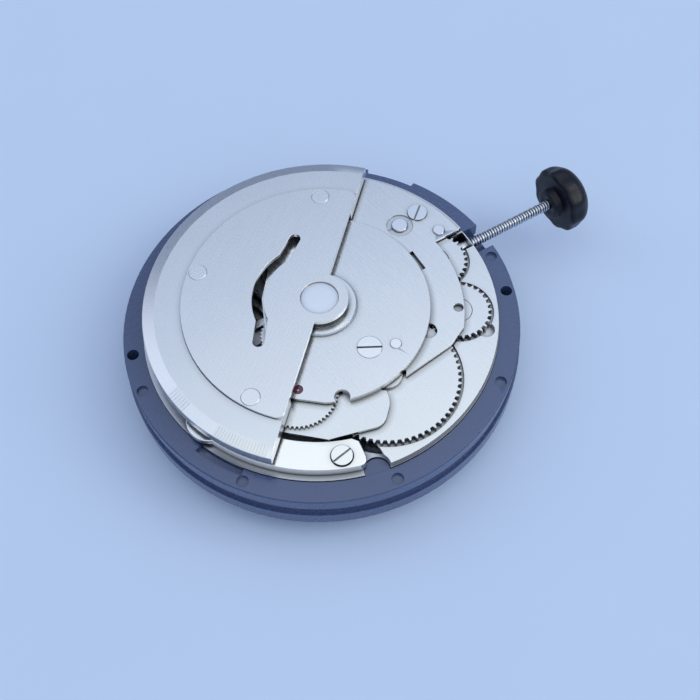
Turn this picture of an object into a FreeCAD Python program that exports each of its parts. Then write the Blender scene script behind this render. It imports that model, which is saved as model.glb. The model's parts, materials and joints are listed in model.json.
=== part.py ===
"""Self-winding mechanical watch movement with its casing ring, stem and temporary winding knob.

Millimetres. The origin is on the centre axis at the dial seat, +Z points from the dial to the
winding rotor, and +X runs along the winding stem. Heights named *_low and *_top are z values.
"""
import FreeCAD, Part
import math
import os
import re
import Sketcher

V = FreeCAD.Vector
DOC = FreeCAD.newDocument("watch_movement")
SHEET = DOC.addObject("Spreadsheet::Sheet", "Sizes")
PLACES = DOC.addObject("Spreadsheet::Sheet", "Places")

SIZES = {
    # Main plate and casing ring
    "plate_radius": 12.80, "plate_top": 3.16, "web_low": 0.95, "web_top": 1.30,
    "works_radius": 9.45, "date_channel_radius": 12.15, "date_channel_depth": 0.50,
    "ring_radius": 14.30, "ring_top": 3.05, "ring_flange_radius": 14.45,
    "ring_flange_height": 1.20, "ring_groove_radius": 14.16, "ring_groove_height": 0.75,
    "ring_gap_width": 2.20, "ring_hole_radius": 0.42, "ring_hole_circle": 13.66,
    "ring_dimple_depth": 0.25, "fit_gap": 0.02, "ring_waist_depth": 0.42,
    "ring_waist_start": 29.0, "ring_waist_end": 46.0, "ring_step_start": 201.0,
    "ring_step_end": 217.0, "ring_step_depth": 0.35, "ring_hole_angle0": 162.0,
    "ring_hole_angle1": -21.6, "dimple_angle0": 175.0, "dimple_angle1": 218.0,
    "dimple_angle2": 262.0, "dimple_angle3": 306.0, "dimple_angle4": 352.0,
    "tab_angle": 257.5, "tab_inset": 0.19, "tab_radius": 0.87, "tab_height": 1.05,
    # Running clearances, pivots and jewels
    "run_gap": 0.03, "pivot_radius": 0.08, "jewel_radius": 0.45, "jewel_height": 0.24,
    "arbor_radius": 0.16, "air": 0.06,
    # Going train
    "barrel_x": 1.30, "barrel_y": -6.90, "barrel_pitch": 5.35, "barrel_teeth": 60,
    "pinion_leaves": 8, "wheel_teeth": 60, "drum_radius": 4.95, "drum_low": 1.50,
    "drum_top": 2.62, "drum_wall": 0.22, "drum_teeth_height": 0.30,
    "second_reach": 4.20, "third_reach": 3.60, "third_angle": 38.9, "escape_reach": 3.40,
    "escape_angle": 120.0, "seconds_teeth": 54, "escape_leaves": 6, "wheel_height": 0.12,
    "second_wheel_low": 2.76, "third_wheel_low": 2.38, "seconds_wheel_low": 2.95,
    "escape_wheel_low": 2.14, "escape_radius": 2.10, "escape_teeth": 20,
    # Balance and lever
    "balance_x": -7.30, "balance_y": 1.90, "balance_radius": 4.35, "balance_rim": 0.42,
    "balance_low": 2.78, "balance_rim_height": 0.34, "balance_arm_width": 0.50,
    "balance_floor": 1.85, "staff_radius": 0.20, "roller_radius": 0.95, "roller_low": 2.44,
    "roller_height": 0.16, "lever_low": 2.12, "lever_height": 0.20, "lever_from_escape": 2.60,
    "hairspring_low": 3.24, "hairspring_height": 0.12, "hairspring_wire": 0.06,
    "hairspring_pitch": 0.47, "hairspring_start": 0.55, "hairspring_half_turns": 8,
    "mainspring_thick": 0.13, "mainspring_pitch": 0.60, "mainspring_start": 1.25,
    "mainspring_half_turns": 11, "barrel_arbor_radius": 1.10,
    # Bridges
    "bridge_top": 3.66, "train_bridge_top": 3.90, "lower_plate_top": 4.15,
    "automatic_top": 4.70, "automatic_radius": 7.80, "automatic_roof": 4.42,
    "cock_low": 3.46, "cock_top": 3.95, "cock_inner": 10.30, "cock_outer": 12.40,
    "cock_start": 196.0, "cock_end": 255.5, "cock_arm_width": 3.20,
    "lower_plate_radius": 10.25, "lower_plate_step_y": 0.78,
    "bearing_seat_radius": 2.65, "bearing_seat_top": 4.92,
    "bearing_seat_bevel": 0.10, "spring_slot_start": 7.95, "spring_slot_end": 8.32,
    "spring_slot_half": 0.90, "plug_hole_x": 9.30, "plug_hole_y": -7.30,
    "plug_hole_radius": 0.62, "crescent_x": 5.60, "crescent_y": -5.50,
    "crescent_radius": 0.62, "lever_bridge_leg": 0.90, "lever_bridge_leg_half": 0.30,
    "lever_bridge_leg0_y": 0.90, "lever_bridge_leg1_y": 4.10,
    # Winding wheels
    "ratchet_pitch": 5.10, "ratchet_teeth": 66, "crown_teeth": 30, "crown_pitch": 2.32,
    "crown_x": 9.45, "crown_y": -0.45, "winding_low": 3.49, "winding_top": 3.84,
    "winding_floor": 3.46, "click_angle": 132.0, "click_offset": 0.92, "click_turn": 8.5,
    "click_width": 0.36, "recess_gap": 0.16, "arbor_square": 1.10,
    "reduction_x": -4.64, "reduction_y": -5.14, "reduction_pitch": 2.70,
    "reduction_teeth": 54, "reduction_low": 4.20, "reduction_height": 0.16,
    "rotor_pinion_pitch": 1.30, "rotor_pinion_teeth": 26, "reverser_pitch": 1.90,
    "reverser_teeth": 38,
    # Stem and keyless works
    "stem_height": 2.80, "stem_radius": 0.45, "stem_inner_end": 8.32, "stem_outer_end": 21.05,
    "stem_square": 0.40, "stem_pilot": 0.22, "pilot_length": 0.55, "stem_pull": 0.80,
    "sliding_pinion_radius": 0.52, "sliding_pinion_length": 1.00, "winding_pinion_radius": 0.68,
    "winding_pinion_length": 0.60, "winding_pinion_x": 10.76, "keyless_width": 1.64,
    "keyless_low": 1.88, "keyless_end": 12.62, "lever_plate_height": 0.13,
    "setting_lever_x": 12.00, "setting_lever_y": 1.90, "yoke_x": 9.80, "yoke_y": 2.30,
    "nib_radius": 0.08, "groove_width": 0.22, "groove_radius": 0.32, "groove_x": 11.60,
    "setting_x": 8.40, "setting_pitch": 0.85, "setting_teeth": 14, "minute_reach": 2.60,
    "intermediate_pitch": 1.60,
    # Knob
    "knob_start": 20.10, "knob_radius": 2.55, "knob_length": 2.70, "knob_flats": 10,
    "knob_collar_radius": 1.15, "knob_collar_length": 0.55,
    # Motion works and date
    "cannon_radius": 0.45, "cannon_end": -1.70, "cannon_shaft_radius": 0.62,
    "cannon_shaft_foot": 0.50,    "hour_tube_radius": 0.75, "hour_end": -1.05, "hour_shaft_radius": 0.92,
    "hour_shoulder": -0.25, "shoulder_gap": 0.03, "seconds_post_radius": 0.10,
    "seconds_end": -2.15, "seconds_shaft_radius": 0.12, "centre_tube_radius": 0.24,
    "centre_tube_end": -1.20, "driving_wheel_low": 0.74, "driving_teeth": 48,
    "driving_leaves": 6, "hour_wheel_low": 0.24, "hour_teeth": 32, "minute_leaves": 8,
    "cannon_leaves": 10, "minute_teeth": 30, "minute_wheel_low": 0.46, "motion_height": 0.14,
    "date_ring_inner": 10.55, "date_ring_outer": 12.05, "date_ring_low": 0.16,
    "date_ring_top": 0.40, "date_teeth": 31, "date_tooth_depth": 0.40, "date_angle": 205.0,
    "guard_low": 0.02, "guard_top": 0.13, "guard_radius": 10.95,
    # Rotor
    "rotor_radius": 12.50, "rotor_rim_inner": 8.02, "rotor_rim_low": 4.45, "rotor_rim_top": 5.47,
    "rotor_web_radius": 9.76, "rotor_web_low": 5.38, "rotor_web_top": 5.68, "rotor_axis": 135.0,
    "rotor_lobe_radius": 2.05, "rotor_hub_radius": 1.35, "rotor_hub_top": 5.55,
    "rotor_chord_offset": 0.20, "rivet_radius": 0.66, "rivet_circle": 9.00,
    "slot_radius": 4.35, "slot_width": 0.80, "slot_half_angle": 38.0, "slot_end_radius": 5.45,
    "slot_end_angle": 55.5, "rotor_band_radius": 11.65, "rotor_band_drop": 0.22,
    "axle_radius": 0.45, "bearing_radius": 1.90,
    # Screws
    "screw_thread_radius": 0.35, "screw_head_radius": 0.72, "screw_head_height": 0.30,
    "slot_cut_width": 0.14, "slot_cut_depth": 0.14, "big_head_radius": 0.87,
    "bridge_screw_x": 10.50, "bridge_screw_y": 3.70, "bridge_screw_lift": 0.06,
    "bridge_screw_turn": 40.0, "upper_screw_x": 1.20, "upper_screw_y": -4.80,
    "upper_screw_sink": 0.28, "upper_screw_depth": 0.50, "upper_screw_turn": -29.0,
    "cock_screw_x": -4.40, "cock_screw_y": -10.60, "cock_screw_sink": 0.14,
    "cock_screw_turn": 10.0, "screw_depth": 1.20, "thread_hole_depth": 0.60,
    # Steady pins
    "pin_bevel": 0.05, "pin_rise": 0.10, "bridge_pin_x": 2.90, "bridge_pin_y": -5.50,
    "bridge_pin_radius": 0.42, "bridge_pin_depth": 0.35, "stud_x": 8.76, "stud_y": 3.40,
    "stud_radius": 0.60, "stud_seat_radius": 1.00, "stud_seat_depth": 0.08, "key_pin_x": 11.00,
    "key_pin_y": 1.50, "key_pin_radius": 0.45, "pin_hole_depth": 0.16,
}

# Corners of the bridges' straight-edged outlines, counter-clockwise, in plan.
OUTLINES = {
    "barrel_bridge": [(-1.9, -13.2), (13.2, -13.2), (13.2, 0.85), (6.9, 0.85), (6.2, -0.4),
                      (5.9, -2.8), (3.6, -3.2), (2.4, -1.7), (-3.4, -1.7), (-3.0, -7.0),
                      (-2.9, -8.6), (-1.9, -10.2)],
    "train_bridge": [(6.0, -0.3), (6.75, 1.0), (13.2, 1.0), (13.2, 13.2), (-0.6, 13.2),
                     (-3.0, 6.3), (-3.3, 4.4), (-2.2, -1.5), (2.5, -1.5), (3.7, -3.0),
                     (5.7, -2.6)],
    "lower_plate": [(0.6, -8.0), (6.35, -7.3), (8.4, -6.3), (13.2, -3.0), (13.2, 9.0),
                    (3.0, 10.6), (-1.8, 6.6), (-2.4, 3.6), (-3.2, 1.4), (-5.3, -3.2),
                    (-7.1, -7.0), (-4.6, -9.2), (-0.9, -10.2), (0.4, -8.9)],
    "automatic": [(-5.5, -5.35), (-3.35, -7.1), (0.0, -9.0), (9.0, -9.0), (9.0, 9.0),
                  (0.5, 9.0), (-1.7, 4.6), (-3.3, 2.6), (-5.9, -3.6)],
    "pallet_bridge": [(-5.3, 0.6), (-3.3, 0.6), (-3.3, 4.4), (-5.3, 4.4)],
}


def fill_sheet(sheet, values):
    """Write each value as text in the sheet, with its name beside it as the cell's alias."""
    for row, (name, value) in enumerate(values.items(), start=1):
        sheet.set(f"A{row}", name)
        sheet.set(f"B{row}", repr(value))
        sheet.setAlias(f"B{row}", name)


def corner_names(outline):
    """Cell names of an outline's corners, as (x name, y name) pairs."""
    return [(f"{outline}_corner{n}_x", f"{outline}_corner{n}_y")
            for n in range(len(OUTLINES[outline]))]


for outline_name, corners in OUTLINES.items():
    for (x_name, y_name), (corner_x, corner_y) in zip(corner_names(outline_name), corners):
        SIZES[x_name] = corner_x
        SIZES[y_name] = corner_y
fill_sheet(SHEET, SIZES)
DOC.recompute()


def size(name):
    """A driving dimension, read from the sheet."""
    return float(SHEET.get(name))


def polar(radius, angle, centre=(0.0, 0.0)):
    """Point at a radius and an angle in degrees from a centre."""
    turn = math.radians(angle)
    return (centre[0] + radius * math.cos(turn), centre[1] + radius * math.sin(turn))


def heading(start, end):
    """Direction in degrees from one point to another."""
    return math.degrees(math.atan2(end[1] - start[1], end[0] - start[0]))


def meeting(first, first_reach, second, second_reach, side):
    """Point at given distances from two others, on the side (+1 left, -1 right) of their line."""
    span = math.dist(first, second)
    along = (first_reach**2 - second_reach**2 + span**2) / (2 * span)
    across = math.sqrt(max(first_reach**2 - along**2, 0.0))
    base = polar(along, heading(first, second), first)
    return polar(across, heading(first, second) + 90 * side, base)


def leaf_share(reach, leaves, teeth):
    """Pitch radius of a pinion of so many leaves that meshes a wheel at a centre distance."""
    return reach * leaves / (leaves + teeth)


def arbor_places():
    """Centres of all arbors in plan, worked out from the meshing wheels' sizes."""
    centre = (0.0, 0.0)
    barrel = (size("barrel_x"), size("barrel_y"))
    second_pinion = size("barrel_pitch") * size("pinion_leaves") / size("barrel_teeth")
    third = polar(size("third_reach"), size("third_angle"))
    second = meeting(barrel, size("barrel_pitch") + second_pinion, third,
                     size("second_reach"), -1)
    escape = polar(size("escape_reach"), size("escape_angle"))
    balance = (size("balance_x"), size("balance_y"))
    lever = polar(size("lever_from_escape"), heading(escape, balance), escape)
    crown = (size("crown_x"), size("crown_y"))
    ratchet_reach = size("ratchet_pitch") + size("crown_pitch")
    relay = meeting(crown, 2 * size("crown_pitch"), barrel, ratchet_reach, 1)
    reduction = (size("reduction_x"), size("reduction_y"))
    reverser = meeting(centre, size("rotor_pinion_pitch") + size("reverser_pitch"), reduction,
                       size("reduction_pitch") + size("reverser_pitch"), -1)
    setting = (size("setting_x"), 0.0)
    minute = (size("minute_reach"), 0.0)
    minute_pitch = size("minute_reach") - leaf_share(
        size("minute_reach"), size("cannon_leaves"), size("minute_teeth"))
    intermediate = meeting(minute, minute_pitch + size("intermediate_pitch"), setting,
                           size("intermediate_pitch") + size("setting_pitch"), 1)
    hour_pitch = size("minute_reach") - leaf_share(
        size("minute_reach"), size("minute_leaves"), size("hour_teeth"))
    date_drive = polar(3 * hour_pitch, size("date_angle"))
    click = polar(size("ratchet_pitch") + size("click_offset"), size("click_angle"), barrel)
    return {"click": click, "centre": centre, "barrel": barrel, "second": second, "third": third,
            "escape": escape, "balance": balance, "lever": lever, "crown": crown,
            "relay": relay, "reduction": reduction, "reverser": reverser,
            "setting": setting, "minute": minute, "intermediate": intermediate,
            "date_drive": date_drive}


PLACE = arbor_places()
fill_sheet(PLACES, {f"{name}_{axis}": round(value, 5) for name, point in PLACE.items()
                    for axis, value in zip(("px", "py"), point)})
DOC.recompute()
PLACE_NAMES = {f"{name}_{axis}" for name in PLACE for axis in ("px", "py")}


def bound(text):
    """Turn a formula in plain cell names into one that names the sheets."""
    def named(found):
        word = found.group()
        sheet = "Places." if word in PLACE_NAMES else "Sizes." if word in SIZES else ""
        return sheet + word
    return re.sub(r"[a-z]\w*", named, text)


def put(piece, x="0", y="0", z="0"):
    """Bind a piece's position to formulas."""
    for axis, text in zip("xyz", (x, y, z)):
        piece.setExpression(f"Placement.Base.{axis}", bound(text))
    return piece


def label(piece, name):
    """Give a piece the name of its sub-part."""
    piece.Label = name
    return piece


def disc(radius, low, top, at="centre"):
    """Upright cylinder about a named place, between two heights."""
    piece = DOC.addObject("Part::Cylinder", "disc")
    piece.setExpression("Radius", bound(radius))
    piece.setExpression("Height", bound(f"( {top} ) - ( {low} )"))
    return put(piece, f"{at}_px", f"{at}_py", low)


def disc_at(radius, low, top, x, y):
    """Upright cylinder at a place given by formulas, between two heights."""
    piece = DOC.addObject("Part::Cylinder", "disc")
    piece.setExpression("Radius", bound(radius))
    piece.setExpression("Height", bound(f"( {top} ) - ( {low} )"))
    return put(piece, x, y, low)


def cone(radius_low, radius_top, low, top, at="centre"):
    """Upright truncated cone about a named place."""
    piece = DOC.addObject("Part::Cone", "cone")
    piece.setExpression("Radius1", bound(radius_low))
    piece.setExpression("Radius2", bound(radius_top))
    piece.setExpression("Height", bound(f"( {top} ) - ( {low} )"))
    return put(piece, f"{at}_px", f"{at}_py", low)


def rod(radius, start, end, y="0", z="stem_height"):
    """Cylinder along X at the stem's height, between two x values."""
    piece = DOC.addObject("Part::Cylinder", "rod")
    piece.Placement.Rotation = FreeCAD.Rotation(V(0, 1, 0), 90)
    piece.setExpression("Radius", bound(radius))
    piece.setExpression("Height", bound(f"( {end} ) - ( {start} )"))
    return put(piece, start, y, z)


def block(x_low, x_top, y_low, y_top, z_low, z_top):
    """Box between six formulas."""
    piece = DOC.addObject("Part::Box", "block")
    for prop, low, top in (("Length", x_low, x_top), ("Width", y_low, y_top),
                           ("Height", z_low, z_top)):
        piece.setExpression(prop, bound(f"( {top} ) - ( {low} )"))
    return put(piece, x_low, y_low, z_low)


def fuse(*pieces):
    """One solid of several pieces."""
    joined = DOC.addObject("Part::MultiFuse", "fuse")
    joined.Shapes = list(pieces)
    joined.Refine = True
    return joined


def cut(base, *tools):
    """A base less its tools."""
    piece = DOC.addObject("Part::Cut", "cut")
    piece.Base = base
    piece.Tool = tools[0] if len(tools) == 1 else group(*tools)
    return piece


def group(*pieces):
    """Separate solids held in one node, or several tools used as one."""
    joined = DOC.addObject("Part::Compound", "group")
    joined.Links = list(pieces)
    return joined


def common(first, second):
    """What two pieces share."""
    piece = DOC.addObject("Part::Common", "common")
    piece.Base = first
    piece.Tool = second
    return piece


def feature(shape):
    """A piece whose shape follows a formula and is made directly."""
    piece = DOC.addObject("Part::Feature", "formed")
    piece.Shape = shape
    return piece


def prism(outline, low, top):
    """Body padded from a sketch of a named outline, each corner bound to its cells."""
    body = DOC.addObject("PartDesign::Body", f"{outline}_outline")
    sketch = body.newObject("Sketcher::SketchObject", f"{outline}_sketch")
    plane = [item for item in body.Origin.OriginFeatures if item.Role == "XY_Plane"][0]
    sketch.AttachmentSupport = [(plane, "")]
    sketch.MapMode = "FlatFace"
    sketch.setExpression("AttachmentOffset.Base.z", bound(low))
    points = [V(x, y, 0) for x, y in OUTLINES[outline]]
    for start, end in zip(points, points[1:] + points[:1]):
        sketch.addGeometry(Part.LineSegment(start, end), False)
    for n in range(len(points)):
        sketch.addConstraint(Sketcher.Constraint("Coincident", n, 2, (n + 1) % len(points), 1))
    for n, names in enumerate(corner_names(outline)):
        for kind, name in zip(("DistanceX", "DistanceY"), names):
            row = sketch.addConstraint(Sketcher.Constraint(kind, -1, 1, n, 1, size(name)))
            sketch.setExpression(f"Constraints[{row}]", bound(name))
    pad = body.newObject("PartDesign::Pad", f"{outline}_pad")
    pad.Profile = sketch
    pad.setExpression("Length", bound(f"( {top} ) - ( {low} )"))
    return body


def mesh_phase(first, second):
    """Angle that sets a wheel's teeth between those of the wheel it meshes.

    Each wheel is (centre, teeth, phase), where phase is the angle of one tooth in degrees, and
    the second wheel's phase is left out.
    """
    (first_centre, first_teeth, phase), (second_centre, second_teeth) = first, second
    line = heading(first_centre, second_centre)
    share = (line - phase) * first_teeth / 360.0
    return line + 180.0 + (share + 0.5) * 360.0 / second_teeth


def tooth_points(centre, teeth, pitch, phase, flat_tips):
    """Points of a toothed outline: pointed teeth, or flat-tipped ones where they show."""
    module = 2 * pitch / teeth
    tip, root = pitch + 0.5 * module, pitch - 1.1 * module
    steps = [(0.0, tip), (0.5, root)]
    if flat_tips:
        steps = [(-0.30, root), (-0.10, tip), (0.10, tip), (0.30, root)]
    points = []
    for n in range(int(teeth)):
        for share, radius in steps:
            x, y = polar(radius, phase + (n + share) * 360.0 / teeth, centre)
            points.append(V(x, y, 0))
    return points


def window(centre, inner, outer, start, end):
    """Outline of one opening between two arms of a wheel."""
    def arc(radius, first, last):
        a, b, c = (V(*polar(radius, angle, centre), 0) for angle in
                   (first, (first + last) / 2, last))
        return Part.Arc(a, b, c).toShape()
    inset = math.degrees(0.5 * (outer - inner) / inner) * 0.25
    far, near = arc(outer, start, end), arc(inner, end - inset, start + inset)
    ends = [V(*polar(outer, end, centre), 0), V(*polar(inner, end - inset, centre), 0),
            V(*polar(inner, start + inset, centre), 0), V(*polar(outer, start, centre), 0)]
    return Part.Wire([far, Part.makeLine(ends[0], ends[1]), near,
                      Part.makeLine(ends[2], ends[3])])


def toothed(place, teeth, pitch, low, height, phase=0.0, flat_tips=False, arms=0, inner=0.0,
            outer=0.0, twist=0.0):
    """Toothed disc about a named place, with openings between its arms where it has any."""
    centre = PLACE[place]
    points = tooth_points(centre, teeth, pitch, phase, flat_tips)
    wires = [Part.makePolygon(points + points[:1])]
    for n in range(arms):
        middle = twist + (n + 0.5) * 360.0 / arms
        half = 0.5 * 360.0 / arms - math.degrees(0.13 * outer / outer) * 0.75
        wires.append(window(centre, inner, outer, middle - half, middle + half))
    face = Part.makeFace(wires, "Part::FaceMakerBullseye")
    solid = face.extrude(V(0, 0, height))
    solid.translate(V(0, 0, low))
    return feature(solid)


def spiral(centre, start, pitch, half_turns, thick, low, height, turned=0.0):
    """Flat strip spring: half-turn arcs whose radius grows by half a pitch each time."""
    outer_edges, inner_edges = [], []
    radius, middle, sign = start, 0.0, 1
    for _ in range(int(half_turns)):
        for edges, offset in ((outer_edges, thick / 2), (inner_edges, -thick / 2)):
            points = [V(centre[0] + middle + sign * (radius + offset) * math.cos(a),
                        centre[1] + sign * (radius + offset) * math.sin(a), 0)
                      for a in (0.0, math.pi / 2, math.pi)]
            edges.append(Part.Arc(*points).toShape())
        middle += sign * pitch / 2
        radius += pitch / 2
        sign = -sign
    first = Part.makeLine(inner_edges[0].Vertexes[0].Point, outer_edges[0].Vertexes[0].Point)
    last = Part.makeLine(outer_edges[-1].Vertexes[1].Point, inner_edges[-1].Vertexes[1].Point)
    wire = Part.Wire(Part.__sortEdges__(outer_edges + [last] + inner_edges + [first]))
    solid = Part.Face(wire).extrude(V(0, 0, height))
    solid.translate(V(0, 0, low))
    solid.rotate(V(centre[0], centre[1], 0), V(0, 0, 1), turned)
    print(f"spiral of {half_turns / 2} turns: gap between turns {pitch - thick:.2f} mm")
    return feature(solid)


def screw(x, y, seat, head_radius="screw_head_radius", depth="screw_depth", turned=0.0):
    """Slotted screw whose head stands on a seat height, with its shank below."""
    head = disc_at(head_radius, seat, f"{seat} + screw_head_height", x, y)
    shank = disc_at("screw_thread_radius", f"{seat} - {depth}", seat, x, y)
    slot = DOC.addObject("Part::Box", "slot")
    slot.setExpression("Length", bound(f"{head_radius} * 2.4"))
    slot.setExpression("Width", bound("slot_cut_width"))
    slot.setExpression("Height", bound("slot_cut_depth * 2"))
    turn = math.radians(turned)
    slot.Placement.Rotation = FreeCAD.Rotation(V(0, 0, 1), turned)
    put(slot, f"{x} - {head_radius} * {1.2 * math.cos(turn):.5f}"
              f" + slot_cut_width * {0.5 * math.sin(turn):.5f}",
        f"{y} - {head_radius} * {1.2 * math.sin(turn):.5f}"
        f" - slot_cut_width * {0.5 * math.cos(turn):.5f}",
        f"{seat} + screw_head_height - slot_cut_depth")
    return cut(fuse(head, shank), slot)


def screw_hole(x, y, low, seat, top, head_radius="screw_head_radius"):
    """Tools for a screw's hole: a thread hole up to the seat and a pocket for the head."""
    return [disc_at("screw_thread_radius", low, f"{seat} + 0.01", x, y),
            disc_at(f"{head_radius} + fit_gap", seat, top, x, y)]


def jewel(at, low, radius="jewel_radius"):
    """Jewel with its pivot hole, pressed into a plate from a height upwards."""
    return cut(disc(radius, low, f"{low} + jewel_height", at),
               disc("pivot_radius + fit_gap", low, f"{low} + jewel_height", at))


def arbor(at, floor, roof):
    """Arbor that runs between two jewels: one let into a floor, one into a roof."""
    return fuse(disc("arbor_radius", f"{floor} + run_gap", f"{roof} - run_gap", at),
                disc("pivot_radius", f"{floor} - jewel_height * 0.8",
                     f"{roof} + jewel_height * 0.8", at))


def chamfered_disc(radius, low, top, bevel, at="centre"):
    """Upright disc whose upper edge is bevelled."""
    return fuse(disc(radius, low, f"{top} - {bevel}", at),
                cone(radius, f"{radius} - {bevel}", f"{top} - {bevel}", top, at))


def toothed_ring_tab():
    """Place of the casing ring's inner tab that keys the main plate."""
    reach = "( plate_radius - tab_inset )"
    return f"{reach} * cos(tab_angle)", f"{reach} * sin(tab_angle)"


def main_plate():
    """Bottom plate: pockets for every wheel on the rotor side and works recesses below."""
    tab_x, tab_y = toothed_ring_tab()
    wheel_tip = 1 + 1.0 / size("wheel_teeth")
    second = size("second_reach") - leaf_share(
        size("second_reach"), size("pinion_leaves"), size("wheel_teeth"))
    third = size("third_reach") - leaf_share(
        size("third_reach"), size("pinion_leaves"), size("wheel_teeth"))
    seconds = size("escape_reach") - leaf_share(
        size("escape_reach"), size("escape_leaves"), size("seconds_teeth"))
    pockets = [
        disc("barrel_pitch + recess_gap * 1.8", "web_top", "plate_top + 1", "barrel"),
        disc(f"{second * wheel_tip:.4f} + recess_gap", "web_top", "plate_top + 1", "second"),
        disc(f"{third * wheel_tip:.4f} + recess_gap", "web_top", "plate_top + 1", "third"),
        disc(f"{seconds * wheel_tip:.4f} + recess_gap", "web_top", "plate_top + 1"),
        disc("escape_radius + recess_gap", "balance_floor", "plate_top + 1", "escape"),
        disc("balance_radius + recess_gap * 1.5", "balance_floor", "plate_top + 1", "balance"),
        block("stem_inner_end + pilot_length", "keyless_end", "0 - keyless_width / 2",
              "keyless_width / 2", "keyless_low", "plate_top + 1"),
        block("yoke_x - 0.55", "12.35", "0", "yoke_y + 0.45", "keyless_low", "plate_top + 1"),
        disc("setting_pitch + 0.2", "keyless_low - 0.02", "keyless_low + 0.42", "setting"),
        disc("works_radius", "-1", "web_low"),
        disc("date_channel_radius", "-1", "date_channel_depth"),
        disc("setting_pitch * 0.3 + run_gap", "0", "keyless_low + 0.1", "setting"),
        disc_at("tab_radius + run_gap", "ring_top - tab_height - air * 2", "plate_top + 1", tab_x,
                tab_y),
        disc("barrel_arbor_radius * 0.5 + run_gap", "0", "web_top + 0.5", "barrel"),
        rod("stem_radius + run_gap", "keyless_end - 0.1", "plate_radius + 1"),
        rod("stem_pilot + run_gap", "stem_inner_end - 0.6", "stem_inner_end + pilot_length + 0.1"),
        disc("jewel_radius", "balance_floor - jewel_height * 1.6", "balance_floor + 1", "balance"),
        disc("arbor_radius + run_gap", "plate_top - 0.30", "plate_top + 1", "reduction"),
        disc_at("screw_thread_radius", "plate_top - thread_hole_depth", "plate_top + 1",
                "bridge_screw_x", "bridge_screw_y"),
        disc_at("screw_thread_radius", "plate_top - thread_hole_depth", "plate_top + 1",
                "cock_screw_x", "cock_screw_y"),
        disc("jewel_radius * 0.6", "balance_floor - jewel_height", "balance_floor + 1", "lever"),
        disc("jewel_radius", "balance_floor - jewel_height", "balance_floor + 1", "escape"),
        disc("jewel_radius", "0", "web_top + 1", "second"),
        disc("jewel_radius", "0", "web_top + 1", "third"),
    ]
    plate = cut(disc("plate_radius", "0", "plate_top"), *pockets)
    tube = cut(fuse(disc("centre_tube_radius", "centre_tube_end", "web_low"),
                    disc("centre_tube_radius * 2", "web_low", "web_top + 0.35")),
               disc("seconds_shaft_radius + fit_gap", "centre_tube_end - 1", "web_top + 1"))
    body = cut(plate, disc("centre_tube_radius", "0", "web_top + 1"))
    return label(fuse(body, tube), "main_plate")


def casing_ring():
    """Moulded ring round the plate: flange, waist, stem gap, two through holes, five dimples."""
    tab_x, tab_y = toothed_ring_tab()
    outside = fuse(disc("ring_flange_radius", "0", "ring_flange_height"),
                   disc("ring_groove_radius", "ring_flange_height",
                        "ring_flange_height + ring_groove_height"),
                   chamfered_disc("ring_radius", "ring_flange_height + ring_groove_height",
                                  "ring_top", "0.08"))
    bored = cut(outside, disc("plate_radius + fit_gap", "-1", "ring_top + 1"))
    tab = disc_at("tab_radius", "ring_top - tab_height - air", "ring_top - air", tab_x, tab_y)
    tools = [block("plate_radius - 1", "ring_radius + 2", "0 - ring_gap_width / 2",
                   "ring_gap_width / 2", "stem_height - 0.95", "ring_top + 1")]
    holes = [(f"ring_hole_angle{n}", "-1") for n in range(2)]
    dimples = [(f"dimple_angle{n}", "ring_top - ring_dimple_depth") for n in range(5)]
    for angle, low in holes + dimples:
        tools.append(disc_at("ring_hole_radius", low, "ring_top + 1",
                             f"ring_hole_circle * cos({angle})",
                             f"ring_hole_circle * sin({angle})"))
    waist = window((0.0, 0.0), size("ring_radius") - size("ring_waist_depth"),
                   size("ring_radius") + 1.5, size("ring_waist_start"), size("ring_waist_end"))
    step = window((0.0, 0.0), size("plate_radius") - 0.5, size("plate_radius") + 0.55,
                  size("ring_step_start"), size("ring_step_end"))
    for wire, low in ((waist, size("ring_flange_height")),
                      (step, size("ring_top") - size("ring_step_depth"))):
        solid = Part.Face(wire).extrude(V(0, 0, size("ring_top") + 1 - low))
        solid.translate(V(0, 0, low))
        tools.append(feature(solid))
    return label(cut(fuse(bored, tab), *tools), "casing_ring")


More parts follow.
